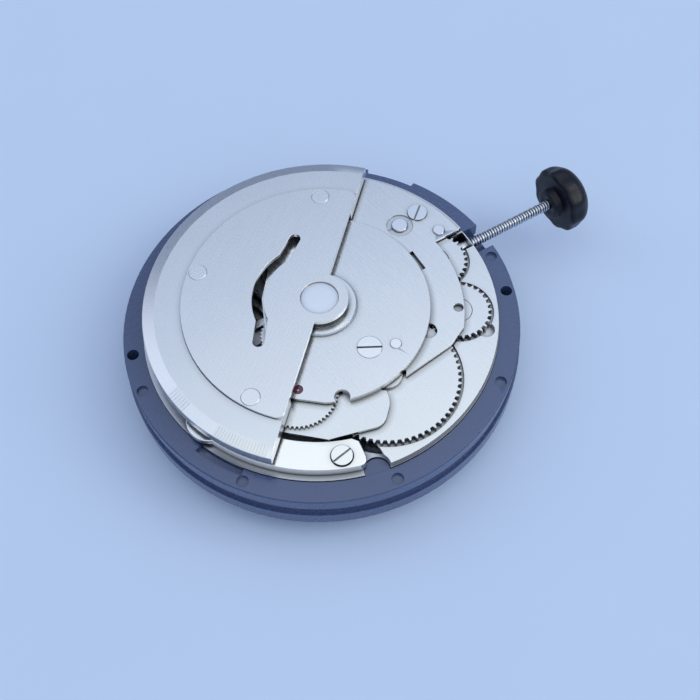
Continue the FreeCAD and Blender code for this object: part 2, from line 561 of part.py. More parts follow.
def bridges():
    """Barrel bridge, train bridge, lower automatic plate, automatic bridge and lever bridge."""
    tab_x, tab_y = toothed_ring_tab()
    tip = 1 + 1.0 / size("ratchet_teeth")
    crown_tip = size("crown_pitch") * (1 + 1.0 / size("crown_teeth"))

    def winding_recesses():
        return [disc(f"ratchet_pitch * {tip:.5f} + recess_gap", "winding_floor",
                     "train_bridge_top + 1", "barrel"),
                disc(f"{crown_tip:.5f} + recess_gap", "winding_floor", "train_bridge_top",
                     "crown"),
                disc(f"{crown_tip:.5f} + recess_gap", "winding_floor", "train_bridge_top",
                     "relay")]
    slab = common(prism("barrel_bridge", "plate_top", "bridge_top"),
                  disc("plate_radius - 0.1", "plate_top", "bridge_top"))
    sliding_channel = block("stem_inner_end + pilot_length", "keyless_end",
                            "0 - sliding_pinion_radius - run_gap",
                            "sliding_pinion_radius + run_gap", "plate_top - 1",
                            "stem_height + sliding_pinion_radius + run_gap")
    pinion_window = block("winding_pinion_x - 0.06", "keyless_end",
                          "0 - winding_pinion_radius - run_gap * 2",
                          "winding_pinion_radius + run_gap * 2", "plate_top - 1", "bridge_top + 1")
    holes = [disc("barrel_arbor_radius * 0.5 + run_gap", "0", "bridge_top + 1", "barrel"),
             disc_at("tab_radius + air", "0", "bridge_top + 1", tab_x, tab_y),
             disc_at("plug_hole_radius", "winding_floor - 0.2", "bridge_top + 1", "plug_hole_x",
                     "plug_hole_y"),
             rod("stem_radius + run_gap", "keyless_end - 0.1", "plate_radius + 1")]
    posts = [disc("crown_pitch * 0.42", "winding_floor", "winding_top", at)
             for at in ("crown", "relay")]
    posts.append(disc("arbor_radius", "bridge_top - 0.1", "winding_top", "click"))
    barrel = fuse(cut(slab, sliding_channel, pinion_window, *holes, *winding_recesses()), *posts)
    label(barrel, "barrel_bridge")

    slab = common(prism("train_bridge", "plate_top", "train_bridge_top"),
                  disc("plate_radius - 0.1", "plate_top", "train_bridge_top"))
    jewels = [disc("jewel_radius", "plate_top", "train_bridge_top + 1", at)
              for at in ("second", "third", "escape", "centre")]
    train = cut(slab, *jewels, *winding_recesses(),
                *screw_hole("bridge_screw_x", "bridge_screw_y", "plate_top", "bridge_top",
                            "train_bridge_top"))
    label(train, "train_bridge")

    beyond = cut(block("4", "14", "-12", "lower_plate_step_y", "bridge_top",
                       "automatic_top"),
                 disc("lower_plate_radius", "bridge_top", "automatic_top"))
    sheet = common(prism("lower_plate", "train_bridge_top", "lower_plate_top"),
                   disc("plate_radius - 0.45", "train_bridge_top", "lower_plate_top"))
    openings = [disc("arbor_square + 0.25", "0", "lower_plate_top + 1", "barrel"),
                disc("reduction_pitch * 0.45", "0", "lower_plate_top + 1", "reduction"),
                disc("arbor_radius + run_gap", "0", "lower_plate_top + 1", "reverser"),
                block("spring_slot_start", "spring_slot_end", "0 - spring_slot_half",
                      "spring_slot_half", "0", "lower_plate_top + 1"),
                disc_at("crescent_radius", "0", "lower_plate_top + 1", "crescent_x",
                        "crescent_y"),
                disc("jewel_radius * 0.8", "0", "lower_plate_top + 1", "relay"),
                *screw_hole("bridge_screw_x", "bridge_screw_y", "train_bridge_top - 1",
                            "train_bridge_top + bridge_screw_lift", "lower_plate_top + 1"),
                disc_at("stud_seat_radius", "lower_plate_top - stud_seat_depth",
                        "lower_plate_top + 1", "stud_x", "stud_y"),
                disc_at("stud_radius", "lower_plate_top - pin_hole_depth",
                        "lower_plate_top + 1", "stud_x", "stud_y"),
                disc_at("key_pin_radius", "lower_plate_top - pin_hole_depth",
                        "lower_plate_top + 1", "key_pin_x", "key_pin_y"),
                *screw_hole("upper_screw_x", "upper_screw_y", "0", "lower_plate_top",
                            "lower_plate_top + 1")]
    lower = cut(sheet, beyond, *openings)
    label(lower, "lower_automatic_plate")

    plate = common(prism("automatic", "lower_plate_top", "automatic_top"),
                   disc("automatic_radius", "lower_plate_top", "automatic_top"))
    seat = chamfered_disc("bearing_seat_radius", "automatic_roof", "bearing_seat_top",
                          "bearing_seat_bevel")
    rooms = [disc("reduction_pitch + recess_gap * 2", "lower_plate_top - 1", "automatic_roof",
                  "reduction"),
             disc("reverser_pitch + recess_gap * 2", "lower_plate_top - 1", "automatic_roof",
                  "reverser"),
             disc("rotor_pinion_pitch + recess_gap * 2", "lower_plate_top - 1",
                  "automatic_roof"),
             disc("bearing_radius", "0", "automatic_top + 1"),
             disc("jewel_radius * 0.8", "0", "automatic_top + 1", "reduction"),
             disc("jewel_radius * 0.8", "0", "automatic_top + 1", "reverser"),
             disc_at("0.55", "0", "automatic_top + 1", "0 - 2.35", "0 - 7.15"),
             disc_at("bridge_pin_radius", "automatic_top - bridge_pin_depth",
                     "automatic_top + 1", "bridge_pin_x", "bridge_pin_y"),
             *screw_hole("upper_screw_x", "upper_screw_y", "0",
                         "automatic_top - upper_screw_sink", "automatic_top + 1",
                         "big_head_radius")]
    upper = cut(fuse(plate, seat), *rooms)
    label(upper, "automatic_bridge")

    lever_plate = prism("pallet_bridge", "lever_low + lever_height + air * 2", "roller_low + 0.2")
    legs = [block("pallet_bridge_corner0_x", "pallet_bridge_corner0_x + lever_bridge_leg",
                  f"lever_bridge_leg{n}_y - lever_bridge_leg_half",
                  f"lever_bridge_leg{n}_y + lever_bridge_leg_half", "balance_floor",
                  "roller_low + 0.2") for n in range(2)]
    lever = cut(fuse(lever_plate, *legs),
                disc("jewel_radius * 0.6", "0", "automatic_top", "lever"))
    label(lever, "pallet_bridge")
    return [barrel, train, lower, upper, lever]


def balance_cock():
    """Cock that follows the plate's rim and reaches in over the balance."""
    foot_face = Part.Face(window((0.0, 0.0), size("cock_inner"), size("cock_outer"),
                                 size("cock_start"), size("cock_end")))
    foot = foot_face.extrude(V(0, 0, size("cock_top") - size("plate_top")))
    foot.translate(V(0, 0, size("plate_top")))
    arm = stadium(PLACE["balance"], polar(11.3, size("cock_start") + 3),
                  size("cock_arm_width") / 2, size("cock_low"),
                  size("cock_top") - size("cock_low"))
    tip = 1 + 1.0 / size("ratchet_teeth")
    tools = [disc("staff_radius * 4.25", "0", "automatic_top", "balance"),
             disc(f"ratchet_pitch * {tip:.5f} + recess_gap", "0", "automatic_top", "barrel"),
             *screw_hole("cock_screw_x", "cock_screw_y", "0", "cock_top - cock_screw_sink",
                         "cock_top + 1")]
    return label(cut(fuse(feature(foot), feature(arm)), *tools), "balance_cock")


def stadium(start, end, radius, low, height):
    """Flat bar with round ends between two points in plan."""
    side = heading(start, end) + 90
    a, b = polar(radius, side, start), polar(radius, side, end)
    c, d = polar(-radius, side, end), polar(-radius, side, start)
    far, near = polar(radius, side - 90, end), polar(-radius, side - 90, start)
    a, b, c, d, far, near = (V(*point, 0) for point in (a, b, c, d, far, near))
    wire = Part.Wire([Part.makeLine(a, b), Part.Arc(b, far, c).toShape(), Part.makeLine(c, d),
                      Part.Arc(d, near, a).toShape()])
    solid = Part.Face(wire).extrude(V(0, 0, height))
    solid.translate(V(0, 0, low))
    return solid


def barrel_works():
    """Drum, cover, arbor and mainspring."""
    drum = toothed("barrel", size("barrel_teeth"), size("barrel_pitch"), size("drum_low"),
                   size("drum_teeth_height"))
    wall = disc("drum_radius", "drum_low", "drum_top", "barrel")
    hollow = disc("drum_radius - drum_wall", "drum_low + drum_teeth_height * 0.6",
                  "drum_top + 1", "barrel")
    bore = disc("barrel_arbor_radius * 0.5 + run_gap", "0", "drum_top + 1", "barrel")
    drum = label(cut(fuse(drum, wall), hollow, bore), "barrel_drum")
    cover = label(cut(disc("drum_radius - drum_wall", "drum_top - 0.16", "drum_top", "barrel"),
                      disc("barrel_arbor_radius * 0.5 + run_gap", "0", "drum_top + 1",
                           "barrel")), "barrel_cover")
    core_low, core_top = "drum_low + drum_teeth_height * 0.6 + run_gap", "drum_top - 0.19"
    shaft = fuse(disc("barrel_arbor_radius", core_low, core_top, "barrel"),
                 disc("barrel_arbor_radius * 0.5", "web_low + 0.05", "winding_top", "barrel"))
    spindle = label(shaft, "barrel_arbor")
    coil = spiral(PLACE["barrel"], size("mainspring_start"), size("mainspring_pitch"),
                  size("mainspring_half_turns"), size("mainspring_thick"),
                  size("drum_low") + size("drum_teeth_height") * 0.6 + 0.05,
                  size("drum_top") - size("drum_low") - size("drum_teeth_height") * 0.6 - 0.28)
    return [drum, cover, spindle, label(coil, "mainspring")]


def train_wheels():
    """Second, third, seconds and escape wheels on their arbors, teeth set to mesh at rest."""
    leaves, teeth = size("pinion_leaves"), size("wheel_teeth")
    height = size("wheel_height")
    barrel_gear = (PLACE["barrel"], size("barrel_teeth"), 0.0)
    phase = mesh_phase(barrel_gear, (PLACE["second"], leaves))
    second_pitch = size("second_reach") - leaf_share(size("second_reach"), leaves, teeth)
    second = fuse(
        toothed("second", leaves, size("barrel_pitch") * leaves / size("barrel_teeth"),
                size("drum_low"), 0.42, phase),
        toothed("second", teeth, second_pitch, size("second_wheel_low"), height, arms=5,
                inner=0.9, outer=second_pitch - 0.55),
        arbor("second", "web_top", "plate_top"))
    phase = mesh_phase((PLACE["second"], teeth, 0.0), (PLACE["third"], leaves))
    third_pitch = size("third_reach") - leaf_share(size("third_reach"), leaves, teeth)
    driver_pitch = leaf_share(size("third_reach"), size("driving_leaves"), size("driving_teeth"))
    third = fuse(
        toothed("third", leaves, size("second_reach") - second_pitch,
                size("second_wheel_low") - 0.10, 0.27, phase),
        toothed("third", teeth, third_pitch, size("third_wheel_low"), height, arms=5,
                inner=0.8, outer=third_pitch - 0.5),
        toothed("third", size("driving_leaves"), driver_pitch, size("driving_wheel_low") - 0.06,
                0.24),
        arbor("third", "web_top", "plate_top"),
        disc("pivot_radius", "driving_wheel_low", "web_top", "third"))
    phase = mesh_phase((PLACE["third"], teeth, 0.0), (PLACE["centre"], leaves))
    seconds_pitch = size("escape_reach") - leaf_share(
        size("escape_reach"), size("escape_leaves"), size("seconds_teeth"))
    seconds = fuse(
        toothed("centre", leaves, size("third_reach") - third_pitch,
                size("third_wheel_low") - 0.14, 0.40, phase),
        toothed("centre", size("seconds_teeth"), seconds_pitch, size("seconds_wheel_low"),
                height, arms=5, inner=0.75, outer=seconds_pitch - 0.45),
        disc("arbor_radius", "web_top + 0.40", "plate_top - run_gap"),
        disc("pivot_radius", "plate_top - 0.1", "plate_top + jewel_height * 0.8"),
        disc("seconds_post_radius", "seconds_end", "cannon_end + 0.01"),
        disc("seconds_shaft_radius", "cannon_end", "web_top + 0.5"))
    phase = mesh_phase((PLACE["centre"], size("seconds_teeth"), 0.0),
                       (PLACE["escape"], size("escape_leaves")))
    escape = fuse(
        toothed("escape", size("escape_leaves"), size("escape_reach") - seconds_pitch,
                size("seconds_wheel_low") - 0.04, 0.20, phase),
        feature(escape_rim()), arbor("escape", "balance_floor", "plate_top"))
    for wheel, name in ((second, "second_wheel"), (third, "third_wheel"),
                        (seconds, "seconds_wheel"), (escape, "escape_wheel")):
        label(wheel, name)
    return [second, third, seconds, escape]


def escape_rim():
    """Escape wheel's rim with leaning club teeth and four arms."""
    centre, radius, teeth = PLACE["escape"], size("escape_radius"), int(size("escape_teeth"))
    steps = ((0.00, 0.82), (0.42, 1.00), (0.62, 0.97), (0.45, 0.82))
    points = []
    for n in range(teeth):
        for share, part in steps:
            points.append(V(*polar(radius * part, (n + share) * 360.0 / teeth, centre), 0))
    wires = [Part.makePolygon(points + points[:1])]
    for n in range(4):
        middle = (n + 0.5) * 90.0
        wires.append(window(centre, 0.24 * radius, 0.68 * radius, middle - 33.0, middle + 33.0))
    face = Part.makeFace(wires, "Part::FaceMakerBullseye")
    solid = face.extrude(V(0, 0, size("wheel_height")))
    solid.translate(V(0, 0, size("escape_wheel_low")))
    return solid


def lever_parts():
    """Pallet lever with its two stones, in its own line from the escape wheel to the balance."""
    pivot, target = PLACE["lever"], PLACE["balance"]
    along = heading(pivot, target)
    reach = math.dist(pivot, target)
    pin = 0.70
    fork_end, slot_start = reach - pin + 0.10, reach - pin - 0.30
    stone = size("escape_radius") + 0.03
    stone_u = stone * math.cos(math.radians(36.0)) - size("lever_from_escape")
    stone_v = stone * math.sin(math.radians(36.0))
    half = [(fork_end, 0.16), (fork_end, 0.34), (slot_start - 0.25, 0.30),
            (slot_start - 0.45, 0.10), (0.30, 0.14), (0.10, 0.42), (stone_u - 0.05, stone_v + 0.36),
            (stone_u - 0.22, stone_v + 0.30), (-0.22, 0.24)]
    outline = half + [(u, -v) for u, v in reversed(half)] + [(slot_start, -0.16),
                                                            (slot_start, 0.16)]

    def placed(u, v):
        x, y = polar(u, along, pivot)
        return V(*polar(v, along + 90, (x, y)), 0)
    points = [placed(u, v) for u, v in outline]
    solid = Part.Face(Part.makePolygon(points + points[:1])).extrude(
        V(0, 0, size("lever_height")))
    solid.translate(V(0, 0, size("lever_low")))
    lever = fuse(feature(solid), arbor("lever", "balance_floor",
                                       "lever_low + lever_height + air * 2"))
    stones = []
    for side in (1, -1):
        foot, tip = placed(stone_u - 0.02, side * stone_v), placed(stone_u - 0.14,
                                                                side * (stone_v + 0.26))
        solid = stadium((foot.x, foot.y), (tip.x, tip.y), 0.09, size("lever_low") - 0.10, 0.09)
        stones.append(feature(solid))
    return [label(lever, "pallet_lever"), label(group(*stones), "pallet_stones")]


def balance():
    """Balance wheel, staff with roller, and hairspring with its stud."""
    top = "balance_low + balance_rim_height"
    rim = cut(disc("balance_radius", "balance_low", top, "balance"),
              disc("balance_radius - balance_rim", "0", "automatic_top", "balance"))
    arm_low, arm_top = "balance_low + 0.10", "balance_low + 0.24"
    bar = block("balance_px - balance_radius + 0.2", "balance_px + balance_radius - 0.2",
                "balance_py - balance_arm_width / 2", "balance_py + balance_arm_width / 2",
                arm_low, arm_top)
    wheel = cut(fuse(rim, bar, disc("staff_radius * 3", "balance_low", arm_top, "balance")),
                disc("staff_radius", "0", "automatic_top", "balance"))
    pin = disc_at("0.11", "lever_low + lever_height - 0.03", "roller_low + 0.05",
                  "balance_px + 0.7 * ( lever_px - balance_px )"
                  " / sqrt(( lever_px - balance_px ) ^ 2 + ( lever_py - balance_py ) ^ 2 )",
                  "balance_py + 0.7 * ( lever_py - balance_py )"
                  " / sqrt(( lever_px - balance_px ) ^ 2 + ( lever_py - balance_py ) ^ 2 )")
    staff = fuse(disc("staff_radius", "balance_floor + run_gap", "cock_low - 0.02 + run_gap",
                      "balance"),
                 disc("pivot_radius", "balance_floor - 0.16", "cock_low + 0.16", "balance"),
                 disc("roller_radius", "roller_low", "roller_low + roller_height", "balance"),
                 disc("staff_radius * 2", "hairspring_low - 0.02",
                      "hairspring_low + hairspring_height", "balance"), pin)
    coil = spiral(PLACE["balance"], size("hairspring_start"), size("hairspring_pitch"),
                  size("hairspring_half_turns"), size("hairspring_wire"),
                  size("hairspring_low"), size("hairspring_height"))
    return [label(wheel, "balance_wheel"), label(staff, "balance_staff"),
            label(coil, "hairspring")]


def shock_settings():
    """Spring-held jewel settings above and below the balance."""
    upper = cut(disc("staff_radius * 4.25", "cock_low + 0.04", "cock_top + 0.10", "balance"),
                disc("pivot_radius + fit_gap", "0", "cock_low + 0.24", "balance"),
                disc("staff_radius * 2.2", "cock_top", "cock_top + 1", "balance"))
    lower = cut(disc("jewel_radius", "balance_floor - jewel_height * 1.6", "balance_floor",
                     "balance"),
                disc("pivot_radius + fit_gap", "balance_floor - 0.2", "balance_floor",
                     "balance"))
    return [label(upper, "upper_shock_setting"), label(lower, "lower_shock_setting")]


def regulator():
    """Regulator lever and stud carrier on the balance cock."""
    low = "cock_top + 0.01"
    lever = fuse(disc("staff_radius * 6", low, "cock_top + 0.12", "balance"),
                 feature(stadium(PLACE["balance"], polar(2.5, 100, PLACE["balance"]), 0.24,
                                 size("cock_top") + 0.01, 0.11)))
    lever = cut(lever, disc("staff_radius * 4.25 + run_gap", "0", "automatic_top", "balance"))
    stud_radius = 0.15
    spring_end = size("hairspring_start") + size("hairspring_pitch") / 2 * size(
        "hairspring_half_turns")
    stud_place = polar(spring_end + size("hairspring_wire") / 2 + stud_radius, 0,
                       PLACE["balance"])
    carrier_low = size("cock_top") + 0.14
    stud = stadium(stud_place, (stud_place[0] + 0.001, stud_place[1]), stud_radius,
                   size("hairspring_low"), carrier_low + 0.1 - size("hairspring_low"))
    carrier = fuse(disc("staff_radius * 6", "cock_top + 0.14", "cock_top + 0.25", "balance"),
                   feature(stadium(PLACE["balance"], stud_place, 0.26, carrier_low, 0.11)),
                   feature(stud))
    carrier = cut(carrier, disc("staff_radius * 4.25 + run_gap", "0", "automatic_top", "balance"))
    return [label(lever, "regulator"), label(carrier, "stud_carrier")]


def winding_wheels():
    """Crown wheel, relay crown wheel and ratchet wheel, with the ratchet screw and the click."""
    low, height = size("winding_low"), size("winding_top") - size("winding_low")
    crown_gear = (PLACE["crown"], size("crown_teeth"), 0.0)
    relay_phase = mesh_phase(crown_gear, (PLACE["relay"], size("crown_teeth")))
    ratchet_phase = mesh_phase((PLACE["relay"], size("crown_teeth"), relay_phase),
                               (PLACE["barrel"], size("ratchet_teeth")))
    wheels = []
    for at, teeth, pitch, phase, bore, name in (
            ("crown", "crown_teeth", "crown_pitch", 0.0, "crown_pitch * 0.42 + run_gap",
             "crown_wheel"),
            ("relay", "crown_teeth", "crown_pitch", relay_phase, "crown_pitch * 0.42 + run_gap",
             "relay_crown_wheel"),
            ("barrel", "ratchet_teeth", "ratchet_pitch", ratchet_phase,
             "barrel_arbor_radius * 0.5", "ratchet_wheel")):
        blank = toothed(at, size(teeth), size(pitch), low, height, phase, flat_tips=True)
        wheels.append(label(cut(blank, disc(bore, "0", "automatic_top", at)), name))
    head = cut(disc("arbor_square", "winding_top", "lower_plate_top - 0.06", "barrel"),
               block("barrel_px - 1.5", "barrel_px + 1.5", "barrel_py - 0.12",
                     "barrel_py + 0.12", "lower_plate_top - 0.2", "automatic_top"))
    beak = polar(size("ratchet_pitch") * (1 + 1.0 / size("ratchet_teeth"))
                 + size("click_width") / 2 + 0.03, size("click_angle") - size("click_turn"),
                 PLACE["barrel"])
    click_low = size("bridge_top") + 0.02
    click = fuse(feature(stadium(PLACE["click"], beak, size("click_width") / 2, click_low,
                                 size("winding_top") - click_low)),
                 disc("click_width", f"{click_low:.3f}", "winding_top", "click"))
    click = label(cut(click, disc("arbor_radius + fit_gap", "0", "automatic_top", "click")),
                  "click")
    return wheels + [label(head, "ratchet_screw"), click]


def automatic_wheels():
    """Reduction wheel with its pinion, and the reverser wheel between it and the rotor."""
    low, height = size("reduction_low"), size("reduction_height")
    rotor_gear = (PLACE["centre"], size("rotor_pinion_teeth"), 0.0)
    reverser_phase = mesh_phase(rotor_gear, (PLACE["reverser"], size("reverser_teeth")))
    reduction_phase = mesh_phase(
        (PLACE["reverser"], size("reverser_teeth"), reverser_phase),
        (PLACE["reduction"], size("reduction_teeth")))
    reach = math.dist(PLACE["reduction"], PLACE["barrel"])
    tips = reach - size("ratchet_pitch") * (1 + 1.0 / size("ratchet_teeth")) - 0.03
    pinion_teeth = 12
    reduction = fuse(
        toothed("reduction", size("reduction_teeth"), size("reduction_pitch"), low, height,
                reduction_phase, flat_tips=True),
        toothed("reduction", pinion_teeth, tips / (1 + 1.0 / pinion_teeth),
                size("winding_low"), size("winding_top") - size("winding_low"), 0.0),
        disc("arbor_radius", "plate_top - 0.24", "automatic_roof - run_gap", "reduction"),
        disc("pivot_radius", "automatic_roof - 0.1", "automatic_roof + jewel_height * 0.8",
             "reduction"))
    reverser = fuse(
        toothed("reverser", size("reverser_teeth"), size("reverser_pitch"), low, height,
                reverser_phase),
        disc("arbor_radius", "train_bridge_top + 0.02", "automatic_roof - run_gap", "reverser"),
        disc("pivot_radius", "automatic_roof - 0.1", "automatic_roof + jewel_height * 0.8",
             "reverser"))
    return [label(reduction, "reduction_wheel"), label(reverser, "reverser_wheel")]


def turned(piece):
    """Turn a rotor piece from its own line of symmetry to where the rotor rests."""
    piece.setExpression("Placement.Rotation.Angle", bound("rotor_axis"))
    return piece


def rotor():
    """Rotor in a frame whose +X is its line of symmetry: web, weight, rivets, hub, pinion."""
    half_low = "0 - rotor_chord_offset"
    web_half = common(disc("rotor_web_radius", "rotor_web_low", "rotor_web_top"),
                      block(half_low, "rotor_radius + 1", "0 - rotor_radius - 1",
                            "rotor_radius + 1", "rotor_web_low", "rotor_web_top"))
    low, height = size("rotor_web_low") - 1, 3.0
    half_width, radius = size("slot_width") / 2, size("slot_radius")
    arc = Part.Face(window((0.0, 0.0), radius - half_width, radius + half_width,
                           -size("slot_half_angle"), size("slot_half_angle")))
    slot = arc.extrude(V(0, 0, height))
    slot.translate(V(0, 0, low))
    ends = [stadium(polar(radius, side * (size("slot_half_angle") + 1)),
                    polar(size("slot_end_radius"), side * size("slot_end_angle")),
                    half_width, low, height) for side in (1, -1)]
    web = cut(fuse(web_half, disc("rotor_lobe_radius", "rotor_web_low", "rotor_web_top")),
              disc("rotor_hub_radius", "0", "rotor_web_top + 1"), feature(slot),
              *[feature(end) for end in ends])
    rivet_places = [("rivet_circle * cos(" + str(angle) + ")",
                     "rivet_circle * sin(" + str(angle) + ")") for angle in (-75, 0, 75)]
    holes = [disc_at("rivet_radius", "0", "rotor_web_top + 1", x, y) for x, y in rivet_places]
    web = turned(label(cut(web, *holes), "rotor_web"))

    full = fuse(disc("rotor_radius", "rotor_rim_low", "rotor_rim_top - rotor_band_drop"),
                cone("rotor_radius", "rotor_band_radius", "rotor_rim_top - rotor_band_drop",
                     "rotor_rim_top"))
    segment = common(full, block(half_low, "rotor_radius + 1", "0 - rotor_radius - 1",
                                 "rotor_radius + 1", "rotor_rim_low", "rotor_rim_top"))
    weight = cut(segment, disc("rotor_rim_inner", "0", "rotor_web_top + 1"),
                 disc("rotor_web_radius + fit_gap", "rotor_web_low", "rotor_web_top + 1"),
                 *[disc_at("rivet_radius", "0", "rotor_web_top + 1", x, y)
                   for x, y in rivet_places])
    weight = turned(label(weight, "rotor_weight"))
    rivets = turned(label(group(*[
        disc_at("rivet_radius", "rotor_rim_low + 0.2", "rotor_web_top + 0.02", x, y)
        for x, y in rivet_places]), "rotor_rivets"))
    hub = fuse(disc("rotor_hub_radius", "rotor_web_low", "rotor_hub_top"),
               disc("bearing_radius", "bearing_seat_top + 0.14", "rotor_web_low"),
               disc("axle_radius", "reduction_low + reduction_height",
                    "bearing_seat_top + 0.14"))
    pinion = toothed("centre", size("rotor_pinion_teeth"), size("rotor_pinion_pitch"),
                     size("reduction_low"), size("reduction_height"))
    bearing = cut(disc("bearing_radius", "automatic_roof", "bearing_seat_top + 0.06"),
                  disc("axle_radius + run_gap", "0", "rotor_web_top"))
    return [web, weight, rivets, label(hub, "rotor_hub"), label(pinion, "rotor_pinion"),
            label(bearing, "rotor_bearing")]


def stem_and_knob():
    """Stem, winding and sliding pinions, and the moulded winding knob."""
    pilot_end = "stem_inner_end + pilot_length"
    square_end = "winding_pinion_x"
    square = block(pilot_end, square_end, "0 - stem_square / 2", "stem_square / 2",
                   "stem_height - stem_square / 2", "stem_height + stem_square / 2")
    groove = cut(rod("stem_radius + 1", "groove_x - groove_width / 2",
                     "groove_x + groove_width / 2"),
                 rod("groove_radius", "groove_x - groove_width / 2",
                     "groove_x + groove_width / 2"))
    stem = cut(fuse(rod("stem_pilot", "stem_inner_end", pilot_end), square,
                    rod("stem_radius", square_end, "stem_outer_end")), groove)
    label(stem, "stem")
    winding_end = "winding_pinion_x + winding_pinion_length"
    winding = cut(star_rod("winding_pinion_x", "winding_pinion_radius",
                           "winding_pinion_length", 12),
                  rod("stem_radius + run_gap", "winding_pinion_x - 1", f"{winding_end} + 1"))
    label(winding, "winding_pinion")
    slide_start = "winding_pinion_x - sliding_pinion_length - 0.04"
    body = star_rod(slide_start, "sliding_pinion_radius", "sliding_pinion_length", 10)
    neck_start = f"{slide_start} + sliding_pinion_length * 0.38"
    neck_end = f"{slide_start} + sliding_pinion_length * 0.62"
    neck = cut(rod("stem_radius + 1", neck_start, neck_end),
               rod("sliding_pinion_radius - 0.14", neck_start, neck_end))
    hole = block(f"{slide_start} - 1", f"{slide_start} + 2",
                 "0 - stem_square / 2 - run_gap", "stem_square / 2 + run_gap",
                 "stem_height - stem_square / 2 - run_gap",
                 "stem_height + stem_square / 2 + run_gap")
    sliding = label(cut(body, neck, hole), "sliding_pinion")

    grip_start = "knob_start + knob_collar_length"
    grip = DOC.addObject("Part::Prism", "knob_flats")
    grip.Placement.Rotation = FreeCAD.Rotation(V(0, 1, 0), 90)
    grip.setExpression("Polygon", bound("knob_flats"))
    grip.setExpression("Circumradius", bound("knob_radius"))
    grip.setExpression("Height", bound("knob_length - knob_collar_length"))
    put(grip, grip_start, "0", "stem_height")
    shell = rod("knob_radius - 0.04", grip_start, "knob_start + knob_length - 0.45")
    dome = DOC.addObject("Part::Cone", "knob_dome")
    dome.Placement.Rotation = FreeCAD.Rotation(V(0, 1, 0), 90)
    dome.setExpression("Radius1", bound("knob_radius - 0.04"))
    dome.setExpression("Radius2", bound("knob_radius * 0.62"))
    dome.setExpression("Height", bound("0.45"))
    put(dome, "knob_start + knob_length - 0.45", "0", "stem_height")
    collar = rod("knob_collar_radius", "knob_start", f"{grip_start} + 0.01")
    knob = cut(fuse(common(grip, fuse(shell, dome)), collar),
               rod("stem_radius", "knob_start - 1", "stem_outer_end"))
    return [stem, winding, sliding, label(knob, "winding_knob")]


def star_rod(start, radius, length, teeth):
    """Toothed bar along X on the stem's axis."""
    outline = []
    for n in range(teeth):
        for share, part in ((0.0, 1.0), (0.5, 0.76)):
            y, z = polar(size(radius) * part, (n + share) * 360.0 / teeth)
            outline.append(V(0, y, z))
    solid = Part.Face(Part.makePolygon(outline + outline[:1])).extrude(V(size(length), 0, 0))
    piece = feature(solid)
    return put(piece, start, "0", "stem_height")


def keyless_levers():
    """Setting lever and yoke, whose nibs sit in the stem's and the sliding pinion's grooves."""
    low, height = size("keyless_low") + 0.02, size("lever_plate_height")
    pieces = []
    slide_middle = size("winding_pinion_x") - 0.04 - size("sliding_pinion_length") / 2
    for name, pivot, nib in (
            ("setting_lever", (size("setting_lever_x"), size("setting_lever_y")),
             (size("groove_x"), size("groove_radius") + size("nib_radius") + 0.02)),
            ("yoke", (size("yoke_x"), size("yoke_y")),
             (slide_middle, size("sliding_pinion_radius") - 0.14 + size("nib_radius") + 0.02))):
        bar = feature(stadium(pivot, nib, 0.17, low, height))
        boss = feature(stadium(pivot, (pivot[0] + 0.001, pivot[1]), 0.30, low, 0.30))
        finger = feature(stadium(nib, (nib[0] + 0.001, nib[1]), size("nib_radius"), low,
                                 size("stem_height") + 0.10 - low))
        pieces.append(label(fuse(bar, boss, finger), name))
    return pieces


